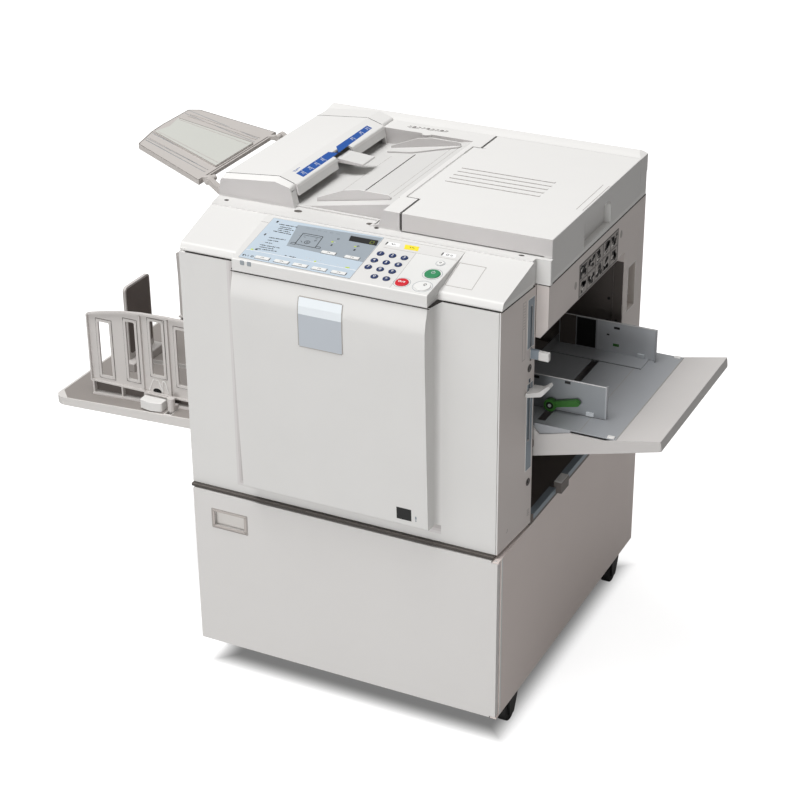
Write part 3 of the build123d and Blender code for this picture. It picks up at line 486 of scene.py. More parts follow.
flat_pieces("panel_drawing", panel_spot, drawing, 0.55, 0.74, "ink_black")
signs = []
for i in range(6):
    u = 194 + i * 11.3
    signs += [bar(u, 91, u + 3.5, 94.5, 0.7), bar(u + 3.5, 94.5, u + 7, 91, 0.7), bar(u + 1, 91, u + 6, 91,
        0.7)]
signs += ring(196, 66, 1.8, 1.1, 10)
flat_pieces("panel_signs", panel_spot, signs, 0.55, 0.7, "ink_grey")
lights = [box2(140.4, 144.4, -0.3, 2.6), box2(256, 259, 64, 67.4), box2(299.5, 302.3, 62.3, 65.5),
    box2(258.8, 261.6, -1, 2.4), box2(315.4, 322.6, -0.4, 1.8)]
flat_pieces("panel_lights", panel_spot, lights, 0.5, 0.95, "lamp_lime")
dim = [box2(u, u + 2, 6, 8) for u in (240, 246, 252, 266, 272)] + [oval(x, y, 1.1) for x, y in ((146, 96),
    (143, 90), (142, 84), (141.5, 58), (141.5, 52), (146, 28), (143, 22), (262, 66), (300, 4))]
flat_pieces("panel_dim_lights", panel_spot, dim, 0.5, 0.75, "ink_pale")
flat_pieces("panel_light_rule", panel_spot, [bar(132.6, -1.5, 337, -2.5, 1.0)], 0.45, 0.65, "ink_white")
rules = [bar(125.2, 105.4, 332.3, 106.4, 0.7), bar(133.2, -27.6, 337.9, -28.6, 0.7), bar(125.2, 105.4, 133.2,
    -27.6, 0.7), bar(332.3, 106.4, 337.9, -28.6, 0.7)]
flat_pieces("membrane_edge", panel_spot, rules, -0.2, 0.35, "soft_seam_and_shade")
flat_pieces("panel_fine_rules", panel_spot, [bar(345, 78.3, 476, 79.4, 0.5), bar(404, 79, 410.6, -31, 0.5),
            bar(110, 88.6, 125.8, 88.2, 0.5), bar(334.5, 106.5, 477, 107, 0.5)], -0.2, 0.18, "soft_seam_and_shade")


def around(u, v, r, start):
    turns = [radians(start + 1 + 358 * i / 28) for i in range(29)]
    return [(u + r * cos(t), v + r * sin(t)) for t in turns]


field = [(404.4, 78.6), (476.4, 79)]
for u, v, r in ((455.3, 62, 6.6), (457.3, 27.8, 13.8), (458.4, -11.2, 14.0)):
    field += [(476.4, v + 0.1)] + around(u, v, r, 0) + [(476.4, v - 0.1)]
field += [(476.4, -30.6), (422.5, -30.6)] + around(422.4, -11.2, 11.8, -90) + [(422.3, -30.6), (411, -30.6)]
flat_pieces("key_field", panel_spot, [field], -0.3, 0.1, "key_field")

# %% [markdown]
# The keys move, so what is printed on them rides on their own bodies. A digit is a text curve with a
# hair of thickness, laid on the crown of its key.

# %% Key symbols
spots = [(x, y) for y in (58.0, 35.5, 13.5) for x in (350.0, 371.5, 393.0)] + [(372.7, -9.5), (394.0, -9.5)]
for i, (x, y) in enumerate(spots):
    body = "number_key_%d_body" % (i + 1)
    if i < 10:
        data = bpy.data.curves.new("digit_%d" % (i + 1), "FONT")
        data.body = str((i + 1) % 10)
        data.size = 0.0085
        data.align_x = "CENTER"
        data.align_y = "CENTER"
        data.extrude = 0.0001
        data.materials.append(finishes["ink_white"])
        text = bpy.data.objects.new("digit_%d" % (i + 1), data)
        bpy.context.collection.objects.link(text)
        text.matrix_world = Matrix.Translation(panel_spot(x, y, 1.68)) @ Matrix.Rotation(TILT, 4, "X")
        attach(text, body)
    else:
        flat_pieces("key_mark_11", panel_spot, [bar(x - 2, y, x + 2, y, 0.9), bar(x, y - 2, x, y + 2, 0.9)],
                    1.55, 1.75, "ink_white", body)
flat_pieces("start_mark", panel_spot, ring(457.6, 30.5, 3.4, 2.5, 20) + [bar(457.6, 31, 457.6, 35.6, 0.9)],
            1.55, 1.75, "ink_pale", "start_key_body")
stop_mark = ring(418.2, -10.5, 2.6, 1.5, 16) + [bar(421.6, -13, 424, -8, 1.0), box2(425.2, 427.4, -12.6, -8.4)]
flat_pieces("stop_mark", panel_spot, stop_mark, 1.55, 1.75, "ink_white", "stop_key_body")
flat_pieces("proof_mark", panel_spot, ring(461, -6.4, 2.6, 1.7, 16) + [bar(459.4, -8.4, 461.6, -10.8, 1.1)],
            1.55, 1.75, "ink_black", "proof_key_body")
flat_pieces("reset_mark", panel_spot, ring(455.3, 62, 2.0, 1.2, 14), 1.55, 1.72, "ink_black", "reset_key_body")
guards = ring(457.3, 27.8, 16.6, 15.9, 40) + ring(422.4, -11.2, 14.2, 13.5, 36) + ring(458.4, -11.2, 16.4, 15.8,
    40)
guards += ring(455.3, 62, 8.0, 7.4, 24)
flat_pieces("key_guard_rings", panel_spot, guards, -0.2, 0.25, "ink_grey")
MODE_KEYS = ((268.6, 31.4), (312, 30.6), (173, -18.5), (208.7, -18.5), (243, -18.5),
             (278, -18.5), (313.4, -18.5))
for i, (x, y) in enumerate(MODE_KEYS):
    flat_pieces("mode_key_%d" % (i + 1), panel_spot, [box2(x - 12.8, x + 12.8, y - 3.6, y + 3.6, 0.8)], 0.3,
                1.9, "key_white", soft=0.4)
    mark = [bar(x - 2.6, y - 1.2, x - 0.4, y + 1.4, 0.8), bar(x + 0.6, y, x + 3, y, 1.2)]
    flat_pieces("mode_mark_%d" % (i + 1), panel_spot, mark, 1.8, 2.05, "ink_black")
    rim = frame_lines(x - 13.4, x + 13.4, y - 4.2, y + 4.2, 0.6)
    flat_pieces("mode_rim_%d" % (i + 1), panel_spot, rim, 0.4, 0.68, "fence_line")
flat_pieces("white_inserts", panel_spot, [[(343.4, 96.6), (367, 97.2), (369.4, 86.2), (345.6, 85.6)],
            [(444.6, 95.4), (468.4, 96), (470.6, 84.6), (446.8, 84)]], -0.2, 0.35, "ink_white")
insert_marks = [box2(343.6, 346, 87, 95.6), box2(444.8, 447, 85.4, 94.4), bar(353, 93.4, 357, 90, 1.3),
    bar(357, 93, 360.6, 91, 1.0)] + ring(455, 90, 2.6, 1.7, 12) + ring(462, 89.8, 2.0, 1.2, 10)
flat_pieces("insert_marks", panel_spot, insert_marks, 0.3, 0.5, "ink_black")
flat_pieces("yellow_insert", panel_spot, [[(375.2, 97.4), (400.6, 98), (404, 85.2), (379.4, 84.2)]], -0.2, 0.4,
            "yellow_tag")
flat_pieces("yellow_marks", panel_spot, [bar(386, 93, 389, 90, 1.4), bar(390, 92.4, 395, 91, 1.8)], 0.35, 0.5,
            "ink_olive")


panel_front = faces_front(-33.8)
flat_pieces("edge_lamps", panel_front, [box2(139.4, 147, 834.6, 842.4, 1.4), box2(152.6, 160, 834.6, 842.4,
            1.4)], -0.3, 0.3, "ink_grey", soft=0.15)
edge_rules = [bar(139.4 + 1.9 * i, 835, 139.4 + 1.9 * i, 842, 0.5) for i in range(1, 4)]
edge_rules += [bar(152.6 + 1.9 * i, 835, 152.6 + 1.9 * i, 842, 0.5) for i in range(1, 4)]
flat_pieces("edge_lamp_ribs", panel_front, edge_rules, 0.2, 0.45, "ink_pale")

# %% [markdown]
# The front door carries a two-tone plate. On the real machine such a plate is printed with names, so here it
# stays bare: a pale upper third over a grey field, standing a little proud of the door. Lower down sits a small
# dark square with nothing on it, and a grey mark beside it. Three narrow sheets in stepped tones paint the
# shade that the raised centre casts on the door's flat part beside it.

# %% Plate and square on the front door
DOOR_LINE = [(413, -30.4), (461, -32.5), (575, -37.2), (684, -40.3), (720, -41.6), (772, -42.0), (786, -40.9),
    (801, -36.8), (820.5, -31.2)]


def door_spot(x, z, rise):
    for (z0, y0), (z1, y1) in zip(DOOR_LINE, DOOR_LINE[1:]):
        if z <= z1:
            break
    return at(x, y0 + (y1 - y0) * (z - z0) / (z1 - z0) - rise, z)


def door_plate(name, z_rows, x0, x1, low, high, paint, round_low, round_high):
    """A plate that follows the door's curve: one strip per row of z."""
    mesh = bmesh.new()
    rows = []
    for k, z in enumerate(z_rows):
        pull = round_low if k == 0 else round_high if k == len(z_rows) - 1 else 0.0
        rows.append([mesh.verts.new(door_spot(x, z, h)) for x, h in ((x0 + pull, low), (x0 + pull, high),
            (x1 - pull, high), (x1 - pull, low))])
    for one, two in zip(rows, rows[1:]):
        for i in range(4):
            j = (i + 1) % 4
            mesh.faces.new((one[i], one[j], two[j], two[i]))
    mesh.faces.new(rows[0])
    mesh.faces.new(rows[-1])
    bmesh.ops.recalc_face_normals(mesh, faces=mesh.faces)
    data = bpy.data.meshes.new(name)
    mesh.to_mesh(data)
    mesh.free()
    data.materials.append(finishes[paint])
    piece = bpy.data.objects.new(name, data)
    bpy.context.collection.objects.link(piece)
    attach(piece, "front_door_body")


door_plate("plate_lower", [714.2, 716.5, 730, 745, 760, 772], 249.2, 328.8, -0.9, 0.8, "plate_grey", 1.8, 0)
door_plate("plate_upper", [772, 779, 786, 793, 799, 800.6], 249.2, 328.8, -0.9, 0.8, "plate_pale", 0, 1.8)
plate_rim = [bar(250, 801.2, 328, 801.2, 1.3), bar(250, 713.6, 328, 713.6, 1.3)]
for z0, z1 in ((715, 730), (730, 750), (750, 772), (772, 786), (786, 793), (793, 800)):
    plate_rim += [bar(x, z0, x, z1, 1.5) for x in (248.7, 329.3)]
flat_pieces("plate_rim", door_spot, plate_rim, -0.4, 0.9, "plug_grey", "front_door_body")


wing_spot = faces_front(0)
# Painted shade on the door's flat part beside its raised centre, darker towards the centre.
for paint, x0, x1, z0, z1 in (("painted_shade_one", 92, 96.5, 394, 399), ("painted_shade_two", 96.5, 100.5, 399, 404),
                              ("painted_shade_three", 100.5, 106, 404, 411)):
    flat_pieces("beside_centre_" + paint, wing_spot, [[(x0, z0), (x1, z1), (x1, 819.5), (x0, 819.5)],
                [(x0, z0), (486, z0), (486, z1), (x1, z1)]], -0.2, 0.12, paint, "front_door_body")
# Painted highlight: the cover's front edge at the corner takes the lighter front tone.
flat_pieces("corner_highlight", wing_spot, [box2(586.4, 588.7, 380, 820.4)], -0.2, 0.12, "front_plastic")
flat_pieces("dark_square", door_spot, [box2(418.8, 446.2, 425, 447.6)], -0.2, 0.15, "ink_black",
            "front_door_body")
flat_pieces("small_mark", door_spot, [oval(454.4, 433.6, 1.5, 3.4, 12), oval(454.4, 428, 1.2, 1.6, 10)], -0.2,
            0.15, "ink_grey", "front_door_body")

# %% [markdown]
# On top, the feeder's sloping lip has a blue band with a scale for the guides: two runs of rectangles that
# meet in a pair of arrow points at the middle. It is a sticker, so it is a tenth of a millimetre thick.

# %% Feeder band, slots and symbols
def lip_spot(x, y, rise):
    """On the feeder cover's slope towards the table."""
    return at(x, y, 913.5 - (x - 103) * 10.5 / 33.6 + rise)


band = [[(117.4, 200), (131.2, 200), (130.8, 321), (129.9, 329), (117.4, 317)], [(117.2, 347), (129.6, 331.5),
    (130.2, 334), (126.8, 468.6), (116.2, 468.6)]]
flat_pieces("scale_band", lip_spot, band, -0.2, 0.25, "ink_blue", "feeder_cover_body")
ticks = []
for y in (216, 241, 264, 287):
    ticks += [bar(118.5, y, 130.5, y, 0.9), bar(121, y - 6, 123.4, y - 2.4, 1.2), bar(124.5, y - 7, 127, y - 7,
        1.2), bar(124.6, y - 3.2, 127.4, y - 3.2, 0.9)]
for y in (403, 437, 462):
    ticks += [bar(117.8, y, 127.5, y, 0.9), bar(119.6, y - 7, 122, y - 3, 1.2), bar(123, y - 8, 125.4, y - 6.4,
        1.2)]
flat_pieces("scale_ticks", lip_spot, ticks, 0.2, 0.36, "ink_white", "feeder_cover_body")
note = [bar(110.5, 201, 110.9, 207, 0.9), bar(112.6, 203, 113.2, 214, 0.9), bar(111, 210, 111.6, 224, 0.9)]
flat_pieces("scale_note", lip_spot, note, -0.2, 0.2, "ink_blue", "feeder_cover_body")


def head_top(x, y, rise):
    return at(x, y, 903 + (x + 4.5) * 10.5 / 107.5 + rise)


def table_spot(x, y, rise):
    return at(x, y, 870 + (x - 165) * 27.6 / 151 + rise)


flat_pieces("table_slot_shadow", table_spot, [bar(229.5, 240.6, 229.5, 436.4, 2.6)], -2.0, -1.2, "painted_gap_shade")
flat_pieces("table_fine_lines", table_spot, [bar(184, 235, 184, 432, 0.6), bar(287, 200, 287, 476, 0.7),
            bar(300, 206, 300, 476, 0.7)], -0.2, 0.12, "soft_seam_and_shade")


high_top = faces_up(898.5)
patch = []
for i in range(9):
    u = 172 + i * 9.0
    patch += [bar(u, 522 + i * 0.7, u + 6.5, 525 + i * 0.7, 1.5), bar(u + 2, 529 + i * 0.4, u + 7,
        527.6 + i * 0.4, 1.4)]
    if i % 3 == 1:
        patch += ring(u + 4, 524.5 + i * 0.6, 3.4, 2.0, 14)
patch += [bar(176, 519, 196, 521, 1.0), bar(214, 521.6, 250, 526, 1.0)]
flat_pieces("guide_symbols", high_top, patch, -0.2, 0.15, "fence_line")


ledge_top = faces_up(866)
# The holes in the ledge are dark sheets of painted shade.
flat_pieces("ledge_holes", ledge_top, [oval(15, 136, 4.2, 3.6), oval(305, 132, 4.2, 3.2), oval(568, 127.5, 5.0,
            2.6)], -0.3, 0.2, "painted_gap_shade")
flat_pieces("ledge_plugs", ledge_top, [oval(151, 143, 7.4, 5.2), oval(288, 143.5, 7.4, 4.6)], -0.3, 0.25,
            "screw_steel")

# %% [markdown]
# The platen cover shows two fine moulding lines near its grip, and the wing beside the keys a faint
# rectangle. The gap round the cover's hinge tongue is darkened later, with the other seams.

# %% Fine lines on the platen cover
flat_pieces("grip_lines", high_top, [bar(603, 273, 603, 396, 0.8), bar(614.3, 273, 614.3, 396, 0.8)], -0.2, 0.3,
            "soft_seam_and_shade", "platen_body")
flat_pieces("wing_recess", lambda x, y, rise: at(x, y, 835.9 + (y - 14) * 0.2865 + rise), frame_lines(480.5,
            527, 24.5, 81, 0.8), -0.8, 0.55, "soft_seam_and_shade")

# %% [markdown]
# The flared panel beside the feed bay carries two blue-grey strips with pale edges, each with a lever's
# slot in it, two screws and a few moulded marks. Its face is not square to anything, so it has its own
# small function, and so has every upright face of the right-hand side.

# %% Strips, screws and label on the right-hand side
def slab(name, plan, z0, z1, paint, body="machine"):
    flat_pieces(name, faces_up(0), [plan], z0, z1, paint, body)


def flare_spot(y, z, rise):
    return at(589 + 7.0 * y / 120.7 + rise, y, z)


side_spot = faces_right(618)
def strip(name, y0, y1, z0, z1, slot_y, slot_z0, slot_z1):
    """A strip round a slot, as four plates that leave the slot free."""
    parts = [box2(y0, slot_y - 4, z0, z1), box2(slot_y + 4, y1, z0, z1), box2(slot_y - 4, slot_y + 4, z0,
        slot_z0 - 1), box2(slot_y - 4, slot_y + 4, slot_z1 + 1, z1)]
    parts = [p for p in parts if p[2][1] - p[0][1] > 0.5]
    flat_pieces(name, flare_spot, parts, -0.2, 0.35, "rail_blue_grey")
    flat_pieces(name + "_edges", flare_spot, [bar(y0, z0, y0, z1, 1.4), bar(y1 - 0.7, z0, y1 - 0.7, z1, 1.0),
                bar(y0, z0, y1, z0, 1.0), bar(y0, z1, y1, z1, 1.0)], -0.2, 0.6, "edge_light")


strip("upper_strip", 95, 120, 717, 805, 110, 692, 790)
strip("lower_strip", 98, 120, 490, 652, 108, 545, 660)
# Each screw's dark well is a sheet of painted shade.
for name, y, z in (("screw_upper", 106, 680), ("screw_lower", 110, 465)):
    flat_pieces(name, flare_spot, [oval(y, z, 7, 7, 28)], -0.3, 0.6, "fence_line", soft=0.3)
    flat_pieces(name + "_well", flare_spot, [oval(y, z, 4.4, 4.4, 24)], 0.5, 0.75, "void_black")
    flat_pieces(name + "_slot", flare_spot, [bar(y - 1, z - 4, y + 1, z + 4, 1.3)], 0.6, 0.9, "plug_grey")
for name, y, z0, z1 in (("upper_slot_liner", 113.3, 692, 790), ("lower_slot_liner", 111.3, 545, 660)):
    flat_pieces(name, faces_front(y), [box2(592, 595.2, z0 + 0.2, z1 - 0.2)], -0.05, 0.1, "rail_blue_grey")
slab("pressure_lever_sleeve", [(596, 107.15), (610.5, 107.15), (610.5, 112.85), (596, 112.85)], 697.05, 713.15,
            "rail_blue_grey", "pressure_lever_body")
slab("separation_lever_tongue", [(597, 99), (616, 107), (616, 113), (597, 113)], 632.2, 634.3, "rail_blue_grey",
            "separation_lever_body")
louvre = [bar(109, 399 + 3.4 * i, 117, 399 + 3.4 * i, 1.1) for i in range(4)] + [bar(33, 405, 37, 411, 1.2)]
flat_pieces("moulded_marks", flare_spot, louvre, -0.2, 0.2, "soft_seam_and_shade")
flat_pieces("label_field", side_spot, [box2(258, 442, 746, 806, 1)], -0.2, 0.2, "plug_grey")
chance = random.Random(5)
dark, pale = frame_lines(258.6, 441.4, 746.6, 805.4, 0.9), []
for i in range(5):
    for j in range(2):
        u, v = 261 + i * 36, 777 - j * 29
        dark += frame_lines(u, u + 34.5, v, v + 27, 0.8)
        for k in range(12):
            a, b = u + 2 + chance.random() * 22, v + 2 + chance.random() * 16
            dark.append([(a, b), (a + 5 + chance.random() * 5, b + chance.random() * 3),
                (a + 6 + chance.random() * 4, b + 7), (a + chance.random() * 4, b + 6 + chance.random() * 3)])
            dark.append(bar(a - 1, b + chance.random() * 8, a + 9, b + chance.random() * 8, 1.0))
        a, b = u + 6 + chance.random() * 18, v + 6 + chance.random() * 12
        pale += [oval(a, b, 2.6, 2.2, 12), bar(a, b, a + 7, b + 3 - 5 * chance.random(), 1.6)]
dark.append([(261, 779), (270, 779), (262, 803)])
flat_pieces("label_dark", side_spot, dark, 0.15, 0.3, "label_dark")
flat_pieces("label_pale", side_spot, pale, 0.2, 0.36, "label_pale")
flat_pieces("label_plugs", side_spot, [oval(243, 776, 5.2, 7, 24), oval(456, 789, 5.2, 7, 24)], -0.3, 0.3,
            "plug_grey")

# %% [markdown]
# The cabinet's pull is a shallow cup with a rim of its own, and the cabinet's board has a pale edging
# strip where it meets the door.

# %% Cabinet pull and edging
cabinet_spot = faces_front(-10)
flat_pieces("pull_rim", cabinet_spot, [box2(43, 112, 333.6, 337, 0.8), box2(43, 112, 302, 306, 0.8),
            box2(43, 47, 304, 335), box2(107, 112, 304, 335)], -1.0, 1.2, "pull_taupe", "cabinet_door_body",
            0.4)
flat_pieces("pull_outline", cabinet_spot, frame_lines(41.6, 113.4, 300.6, 338.4, 1.5), -0.2, 0.5, "plug_grey",
            "cabinet_door_body")
flat_pieces("pull_back", faces_front(-1.8), [box2(46, 109, 305, 334)], -0.1, 0.25, "pull_inside",
            "cabinet_door_body")
flat_pieces("edging", faces_right(596), [box2(3.4, 8.4, 56, 371)], -0.2, 0.3, "edge_light")

# %% [markdown]
# The feed side: windows, slots and clips on the side plates, fine lines across the metal floor, two clips
# at the tray's lip, and the bay's back wall with its round cover and bolts. The sheets in the side grips
# follow, because they face the same way.

# %% Feed side details
rear_plate_spot = faces_front(438)
front_plate_spot = faces_front(191.5)
flat_pieces("rear_plate_slots", rear_plate_spot, [box2(619, 630, 614.6, 619), box2(606, 611, 600, 603)], -0.1,
            0.2, "ink_black", "side_plate_rear_body")
flat_pieces("rear_plate_window", rear_plate_spot, [box2(618.6, 630, 581, 586)], -0.1, 0.25, "green_plastic",
            "side_plate_rear_body")
flat_pieces("front_plate_slots", front_plate_spot, [box2(624.6, 635, 619.7, 624.6), box2(568.6, 578.5, 619,
            624)], -0.1, 0.2, "ink_black", "side_plate_front_body")
for name, spot in (("rear", rear_plate_spot), ("front", front_plate_spot)):
    body = "side_plate_%s_body" % name
    flat_pieces(name + "_clip", spot, [box2(665, 679, 568.6, 576, 1)], -0.2, 3.0, "ink_pale", body, 0.5)
    flat_pieces(name + "_top_edge", spot, [bar(516, 627.2, 699, 627.2, 1.2)], -0.2, 0.5, "edge_light", body)


# The rear plate's face is painted lighter and the front plate's face darker than the bare metal: painted light
# and painted shade.
flat_pieces("rear_plate_face", rear_plate_spot, [box2(588, 697, 568.5, 627)], -0.1, 0.08, "painted_lit_plate",
            "side_plate_rear_body")
flat_pieces("front_plate_face", front_plate_spot, [box2(517, 697, 568.5, 627)], -0.1, 0.08, "painted_shaded_plate",
            "side_plate_front_body")
# Dark sheets of painted shade: the rear plate's end deep in the bay, and the window behind it.
flat_pieces("rear_plate_shade", rear_plate_spot, [box2(517, 547, 569, 627)], -0.1, 0.2, "painted_recess_shade",
            "side_plate_rear_body")
flat_pieces("rear_window_black", faces_front(440.2), [box2(546, 587, 564, 628)], -0.3, 0.2, "void_black",
            "side_plate_rear_body")


flat_pieces("lock_hub", faces_front(180), ring(603, 578.5, 6.6, 3.4, 24), -0.1, 0.3, "void_black", "lock_body")


floor_spot = faces_up(567)
flat_pieces("floor_line", floor_spot, [bar(674.6, 134, 674.6, 472, 0.9), bar(739.8, 134, 739.8, 472, 1.0)],
            -0.2, 0.2, "soft_seam_and_shade", "feed_tray_body")
flat_pieces("lip_clips", floor_spot, [box2(724, 736, 133, 141, 1), box2(724, 736, 464, 472, 1)], -0.3, 2.2,
            "edge_light", "feed_tray_body", 0.5)


bay_spot = faces_front(485)
flat_pieces("bay_ring", bay_spot, ring(578, 606, 19, 17.4, 36), -0.2, 0.6, "screw_steel")
flat_pieces("bay_bolts", bay_spot, [oval(570, 603, 2.4), oval(588, 605, 2.4), oval(590, 649.5, 2.6)], -0.2, 0.8,
            "ink_black")
flat_pieces("bay_line", bay_spot, [bar(481, 525, 560, 525, 1.2)], -0.2, 0.3, "painted_gap_shade")

# Painted shade on the pillar's front face inside the bay.
flat_pieces("pillar_front_sheet", faces_front(481), [box2(598.8, 616.6, 569, 726)], -0.2, 0.3, "painted_recess_shade")
flat_pieces("pillar_front_bolt", faces_front(481), [oval(607, 610, 2.6)], 0.2, 0.8, "ink_black")
flat_pieces("sill_bar", faces_up(394), [box2(588.4, 599.6, 128, 227), box2(588.4, 599.6, 263, 389)], -0.2, 0.4,
            "rail_blue_grey")
flat_pieces("sill_bar_side", faces_right(600), [box2(128, 389, 384, 393.8)], -0.2, 0.4, "rail_blue_grey")
flat_pieces("sill_cube", faces_up(405), [box2(596.5, 610.5, 228.5, 261.5, 1.5)], -0.2, 1.0, "top_plastic",
            soft=0.4)
# Painted shadow lines along the feet of the two side plates.
flat_pieces("rear_foot_shadow", floor_spot, [bar(516, 396.6, 687, 396.6, 0.9)], -0.2, 0.25, "painted_gap_shade",
            "side_plate_rear_body")
flat_pieces("front_foot_shadow", floor_spot, [bar(516, 191.0, 699, 191.0, 0.8)], -0.2, 0.25, "painted_gap_shade",
            "side_plate_front_body")
flat_pieces("louvre_frame", flare_spot, frame_lines(78, 88, 704, 806, 0.8) + [bar(80, 800 - 5 * i, 86,
            800 - 5 * i, 0.9) for i in range(9)], -0.2, 0.15, "soft_seam_and_shade")
# The pillar grip's recess is painted in tones of light and shade: a lighter frame and back wall, and a darker
# side wall.
flat_pieces("pillar_grip_frame", side_spot, frame_lines(502, 541, 620, 707, 1.0), -0.2, 0.25, "edge_light")
flat_pieces("pillar_grip_back", faces_right(602), [box2(503.5, 539.5, 621.5, 705.5)], -0.1, 0.2, "edge_light")
flat_pieces("pillar_grip_side", faces_front(540), [box2(602.5, 617.6, 621.5, 705.5)], -0.1, 0.2, "painted_grip_side_shade")
# The platen cover's grip recess is painted in tones of light and shade: a lighter floor and far wall, and
# darker steps on its back wall next to the near side.
flat_pieces("platen_grip_floor", faces_up(831), [box2(607, 617.4, 279, 395)], -0.1, 0.2, "edge_light",
            "platen_body")
flat_pieces("platen_grip_far", faces_front(398), [box2(607, 617.4, 834, 865)], -0.1, 0.2, "white_foam",
            "platen_body")
for paint, y0, y1 in (("painted_grip_shade_dark", 277, 290), ("painted_grip_shade_mid", 290, 308)):
    flat_pieces("platen_grip_" + paint, faces_right(606.5), [box2(y0, y1, 834.5, 872)], -0.1, 0.15, paint,
                "platen_body")

# %% [markdown]
# Where two mouldings meet there is a gap of a millimetre or two, and it reads as a dark line. Inside the gaps
# sit dark strips, set back from the faces, that paint the shade in the gaps. Where a gap alone reads too faint,
# a thin dark bar of painted shade lies on the faces along it. A dark band of painted shade in the join between
# cabinet and machine, thin lines of painted shade beside the platen cover's ribs, and a pale filler that paints
# the valley by the cover's tongue as lit are here too.

# %% Painted shade inside the gaps
# Dark strips of painted shade inside the gaps.
slab("gap_shade_below_panel", [(12, 0.8), (588, 0.8), (597.2, 118), (12, 118)], 821.05, 822.35, "painted_gap_shade")
slab("gap_shade_below_panel_centre", [(119, -29.5), (480, -29.5), (487, 1), (111, 1)], 820.75, 822.35, "painted_gap_shade")
slab("gap_shade_right", [(600, 126.2), (617.3, 126.2), (617.3, 577), (600, 577)], 821.05, 822.35, "painted_gap_shade")
slab("gap_shade_cover_front", [(348.4, 136), (349.8, 136), (349.8, 206), (348.4, 206)], 868.5, 897, "painted_gap_shade")
slab("gap_shade_cover_rear", [(341.1, 475), (342.5, 475), (342.5, 542.4), (341.1, 542.4)], 868.6, 896.4, "painted_gap_shade")
# Thin dark bars of painted shade along the gaps.
for name, spot, bars in (
        ("seam_bar_side", faces_right(618), [bar(126, 820.6, 577, 820.6, 1.5)]),
        ("seam_bar_front_end", faces_front(126), [bar(598.5, 820.6, 618, 820.6, 1.5)]),
        ("seam_bar_wings", faces_front(0), [bar(12, 822.9, 110, 822.9, 1.2), bar(488, 822.9, 588, 822.9, 1.2)]),
        ("seam_bar_flare", flare_spot, [bar(0.5, 820.6, 118, 820.6, 1.5)])):
    flat_pieces(name, spot, bars, -0.2, 0.2, "painted_gap_shade")
flat_pieces("seam_bar_jogs", high_top, [bar(347.4, 135.6, 347.4, 206, 1.5), bar(325, 205.8, 346.8, 205.8, 1.4),
            bar(340.2, 475.6, 340.2, 543, 1.5), bar(324.5, 475.2, 340, 475.2, 1.4)], -0.3, 0.15, "painted_gap_shade")
flat_pieces("seam_bar_front", faces_front(135), [bar(347.4, 868.6, 347.4, 898, 1.5)], -0.3, 0.15, "painted_gap_shade")
# A pale filler in the valley beside the cover's tongue: painted light over the shade in that gap.
flat_pieces("valley_light_filler", lambda x, z, rise: at(x, rise, z), [[(323.5, 890), (324.3, 893), (325.2, 895.6),
            (323.5, 897.9)]], 211, 440, "top_plastic")
# A dark band of painted shade in the join between the cabinet and the machine.
flat_pieces("base_band_front", faces_front(-7), [box2(0.8, 584.6, 373.3, 377.3)], -0.1, 0.15, "painted_join_shade")
flat_pieces("base_band_top", faces_up(378.3), [box2(0.8, 584.6, -5.4, -0.4)], -0.1, 0.15, "painted_join_shade")
# Painted shade along the gaps between the feeder's caps.
for name, y in (("cap_line_front", 167.2), ("cap_line_rear", 497.8)):
    flat_pieces(name, head_top, [bar(-2.5, y, 102.5, y, 0.9)], -0.2, 0.2, "painted_gap_shade")
    flat_pieces(name + "_slope", lip_spot, [bar(103.5, y, 131, y, 0.9)], -0.3, 0.25, "painted_gap_shade")
flat_pieces("seam_bar_door", door_spot, [bar(119, 819.6, 480, 819.6, 1.3)], -0.2, 0.25, "painted_gap_shade",
            "front_door_body")
# Painted shade: thin lines beside each rib on the platen cover's top.
lines = [bar(352, 299.4 + 17.2 * i, 526, 299.4 + 17.2 * i, 0.9) for i in range(5)]
lines += [bar(352, 305.6 + 17.2 * i, 526, 305.6 + 17.2 * i, 0.7) for i in range(5)]
flat_pieces("rib_shades", high_top, lines, -0.2, 0.2, "soft_seam_and_shade", "platen_body")

# %% [markdown]
# The delivery side: the end fence's inner face is painted dark for its shade, inside a pale edge, the fences'
# windows have dark outlines, the knob has a well painted dark for its shade with thin loops over it, and the
# tray shows its slots with lips, its top painted darker for the shade on it.

# %% Delivery side details
FENCE_WINDOWS = ((-291, -257, 456, 577), (-230, -201, 461, 589), (-177, -142, 481, 600), (-121, -90, 471, 594))
# Painted shade: a dark sheet on the end fence's inner face, inside a pale edge.
flat_pieces("end_fence_shade", faces_right(-300), [box2(267, 345, 450, 585, 7)], -0.2, 0.4, "dark_taupe",
            "end_fence_body")
for name, y, side, body in (("front", 150, 1, "fence_front_body"), ("rear", 463, -1, "fence_rear_body")):
    def recess(x, z, rise, y=y, side=side):
        return at(x, y + side * (4.5 - rise), z)

    def rim(x, z, rise, y=y, side=side):
        return at(x, y - side * rise, z)

    # A dark sheet of painted shade in the channel at the foot of each fence.
    flat_pieces(name + "_fence_recess", recess, [[(-304, 424.5), (-22, 440.5), (-22, 446.6), (-304, 446.6)]],
                0.0, 1.0, "painted_recess_shade", body)
    outline = []
    for x0, x1, z0, z1 in FENCE_WINDOWS:
        outline += frame_lines(x0 - 0.6, x1 + 0.6, z0 - 0.6, z1 + 0.6, 1.0)
    outline += [bar(x, 451, x, z, 0.9) for x, z in ((-194.4, 600), (-135.4, 604))]
    flat_pieces(name + "_fence_outlines", rim, outline, -0.2, 0.25, "fence_line", body)
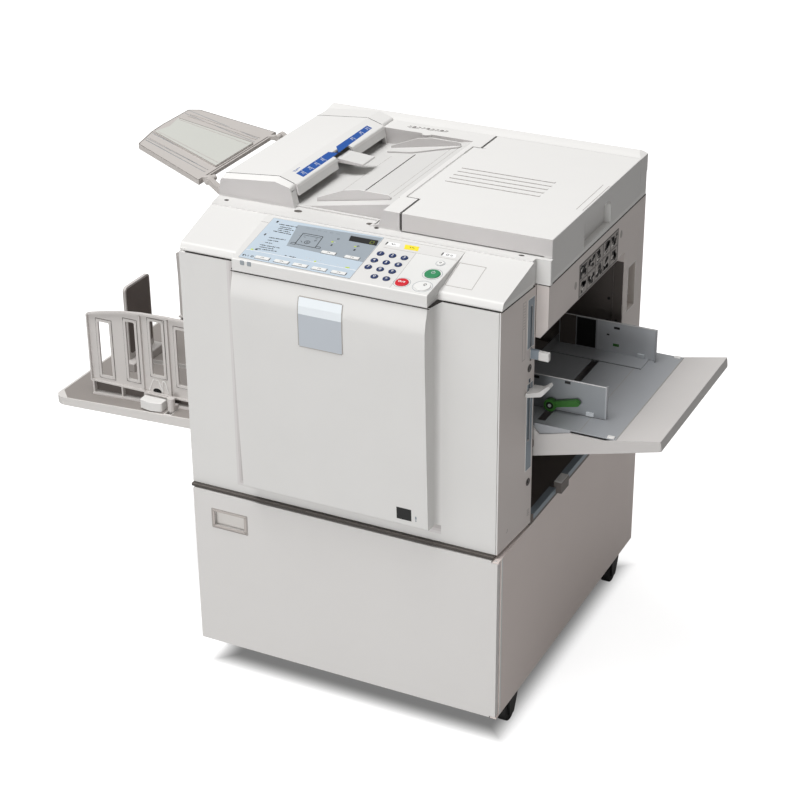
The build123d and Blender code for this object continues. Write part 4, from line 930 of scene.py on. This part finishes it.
# The knob's well is a dark sheet of painted shade.
flat_pieces("knob_well", faces_front(150), [oval(-165, 452, 9, 6)], -0.2, 0.4, "void_black", "fence_front_body")
loops = [bar(-182, 452, -172, 476, 1.4), bar(-160, 476, -152, 452, 1.4), bar(-172, 476, -160, 476, 1.4),
    bar(-151, 476, -146, 476, 1.4), bar(-152, 452, -151, 476, 1.2), bar(-146, 476, -140, 454, 1.4)]
flat_pieces("knob_loops", faces_front(150), loops, 0.2, 1.6, "edge_light", "fence_front_body")
# The tray's top is painted a darker taupe for the shade that lies on it.
tops = [[(-370, 140), (-345, 114), (-345, 499), (-370, 473)], box2(-345, -170, 113, 298), box2(-345, -170, 315,
    500), box2(-170, -131, 113, 500), box2(-131, -114, 298, 315), box2(-114, -2, 113, 500)]


def tray_spot(x, y, rise):
    return at(x, y, 437 + x * 20.5 / 357 + rise)


flat_pieces("tray_top_shade", tray_spot, tops, -0.2, 0.2, "painted_tray_shade")
flat_pieces("tray_slot_lips", tray_spot, [bar(-131, 116, -131, 296, 1.2), bar(-114, 116, -114, 296, 1.2),
            bar(-345, 298, -170, 298, 1.2), bar(-345, 315, -170, 315, 1.2)], -0.2, 0.4, "soft_seam_and_shade")

# %% [markdown]
# The real tray for originals is thin and translucent. Here it is plain grey, with a paler raised middle and
# fine dark lines where the moulding folds.

# %% Original exit tray
def exit_spot(x, y, rise):
    return at(x, y, 868 + (-73.8 - x) * 0.2456 + rise)


flat_pieces("exit_centre", exit_spot, [[(-80.5, 260), (-222, 285), (-215.5, 325), (-222, 365), (-80.5, 390)]],
            2.3, 2.75, "tray_centre", "exit_tray_body")
lines = [bar(-222.2, 255.2, -84, 238.3, 0.9), bar(-218.3, 247.3, -84, 227, 0.9), bar(-223.6, 279.1, -84, 262.5,
    0.9), bar(-227.8, 412.9, -84.8, 416.8, 0.8), bar(-227.2, 396.7, -82.3, 400.4, 0.8)]
flat_pieces("exit_lines", exit_spot, lines, -0.2, 0.35, "ink_grey", "exit_tray_body")
edge = [(-76, 192.8), (-217.6, 224.8), (-227.5, 285), (-230.2, 325), (-230.2, 414), (-216, 431.6), (-76, 467)]
rims = [bar(a[0], a[1], b[0], b[1], 0.8) for a, b in zip(edge, edge[1:])] + [bar(-75.8, 193, -75.8, 467, 1.2)]
flat_pieces("exit_rims", exit_spot, rims, -0.2, 0.3, "fence_line", "exit_tray_body")
folds = [bar(-80.5, 258.6, -222, 283.6, 0.9), bar(-80.5, 391.4, -222, 366.4, 0.9), bar(-79.8, 259, -79.8, 391,
    0.9)]
flat_pieces("exit_folds", exit_spot, folds, 2.2, 2.85, "seam_grey", "exit_tray_body")
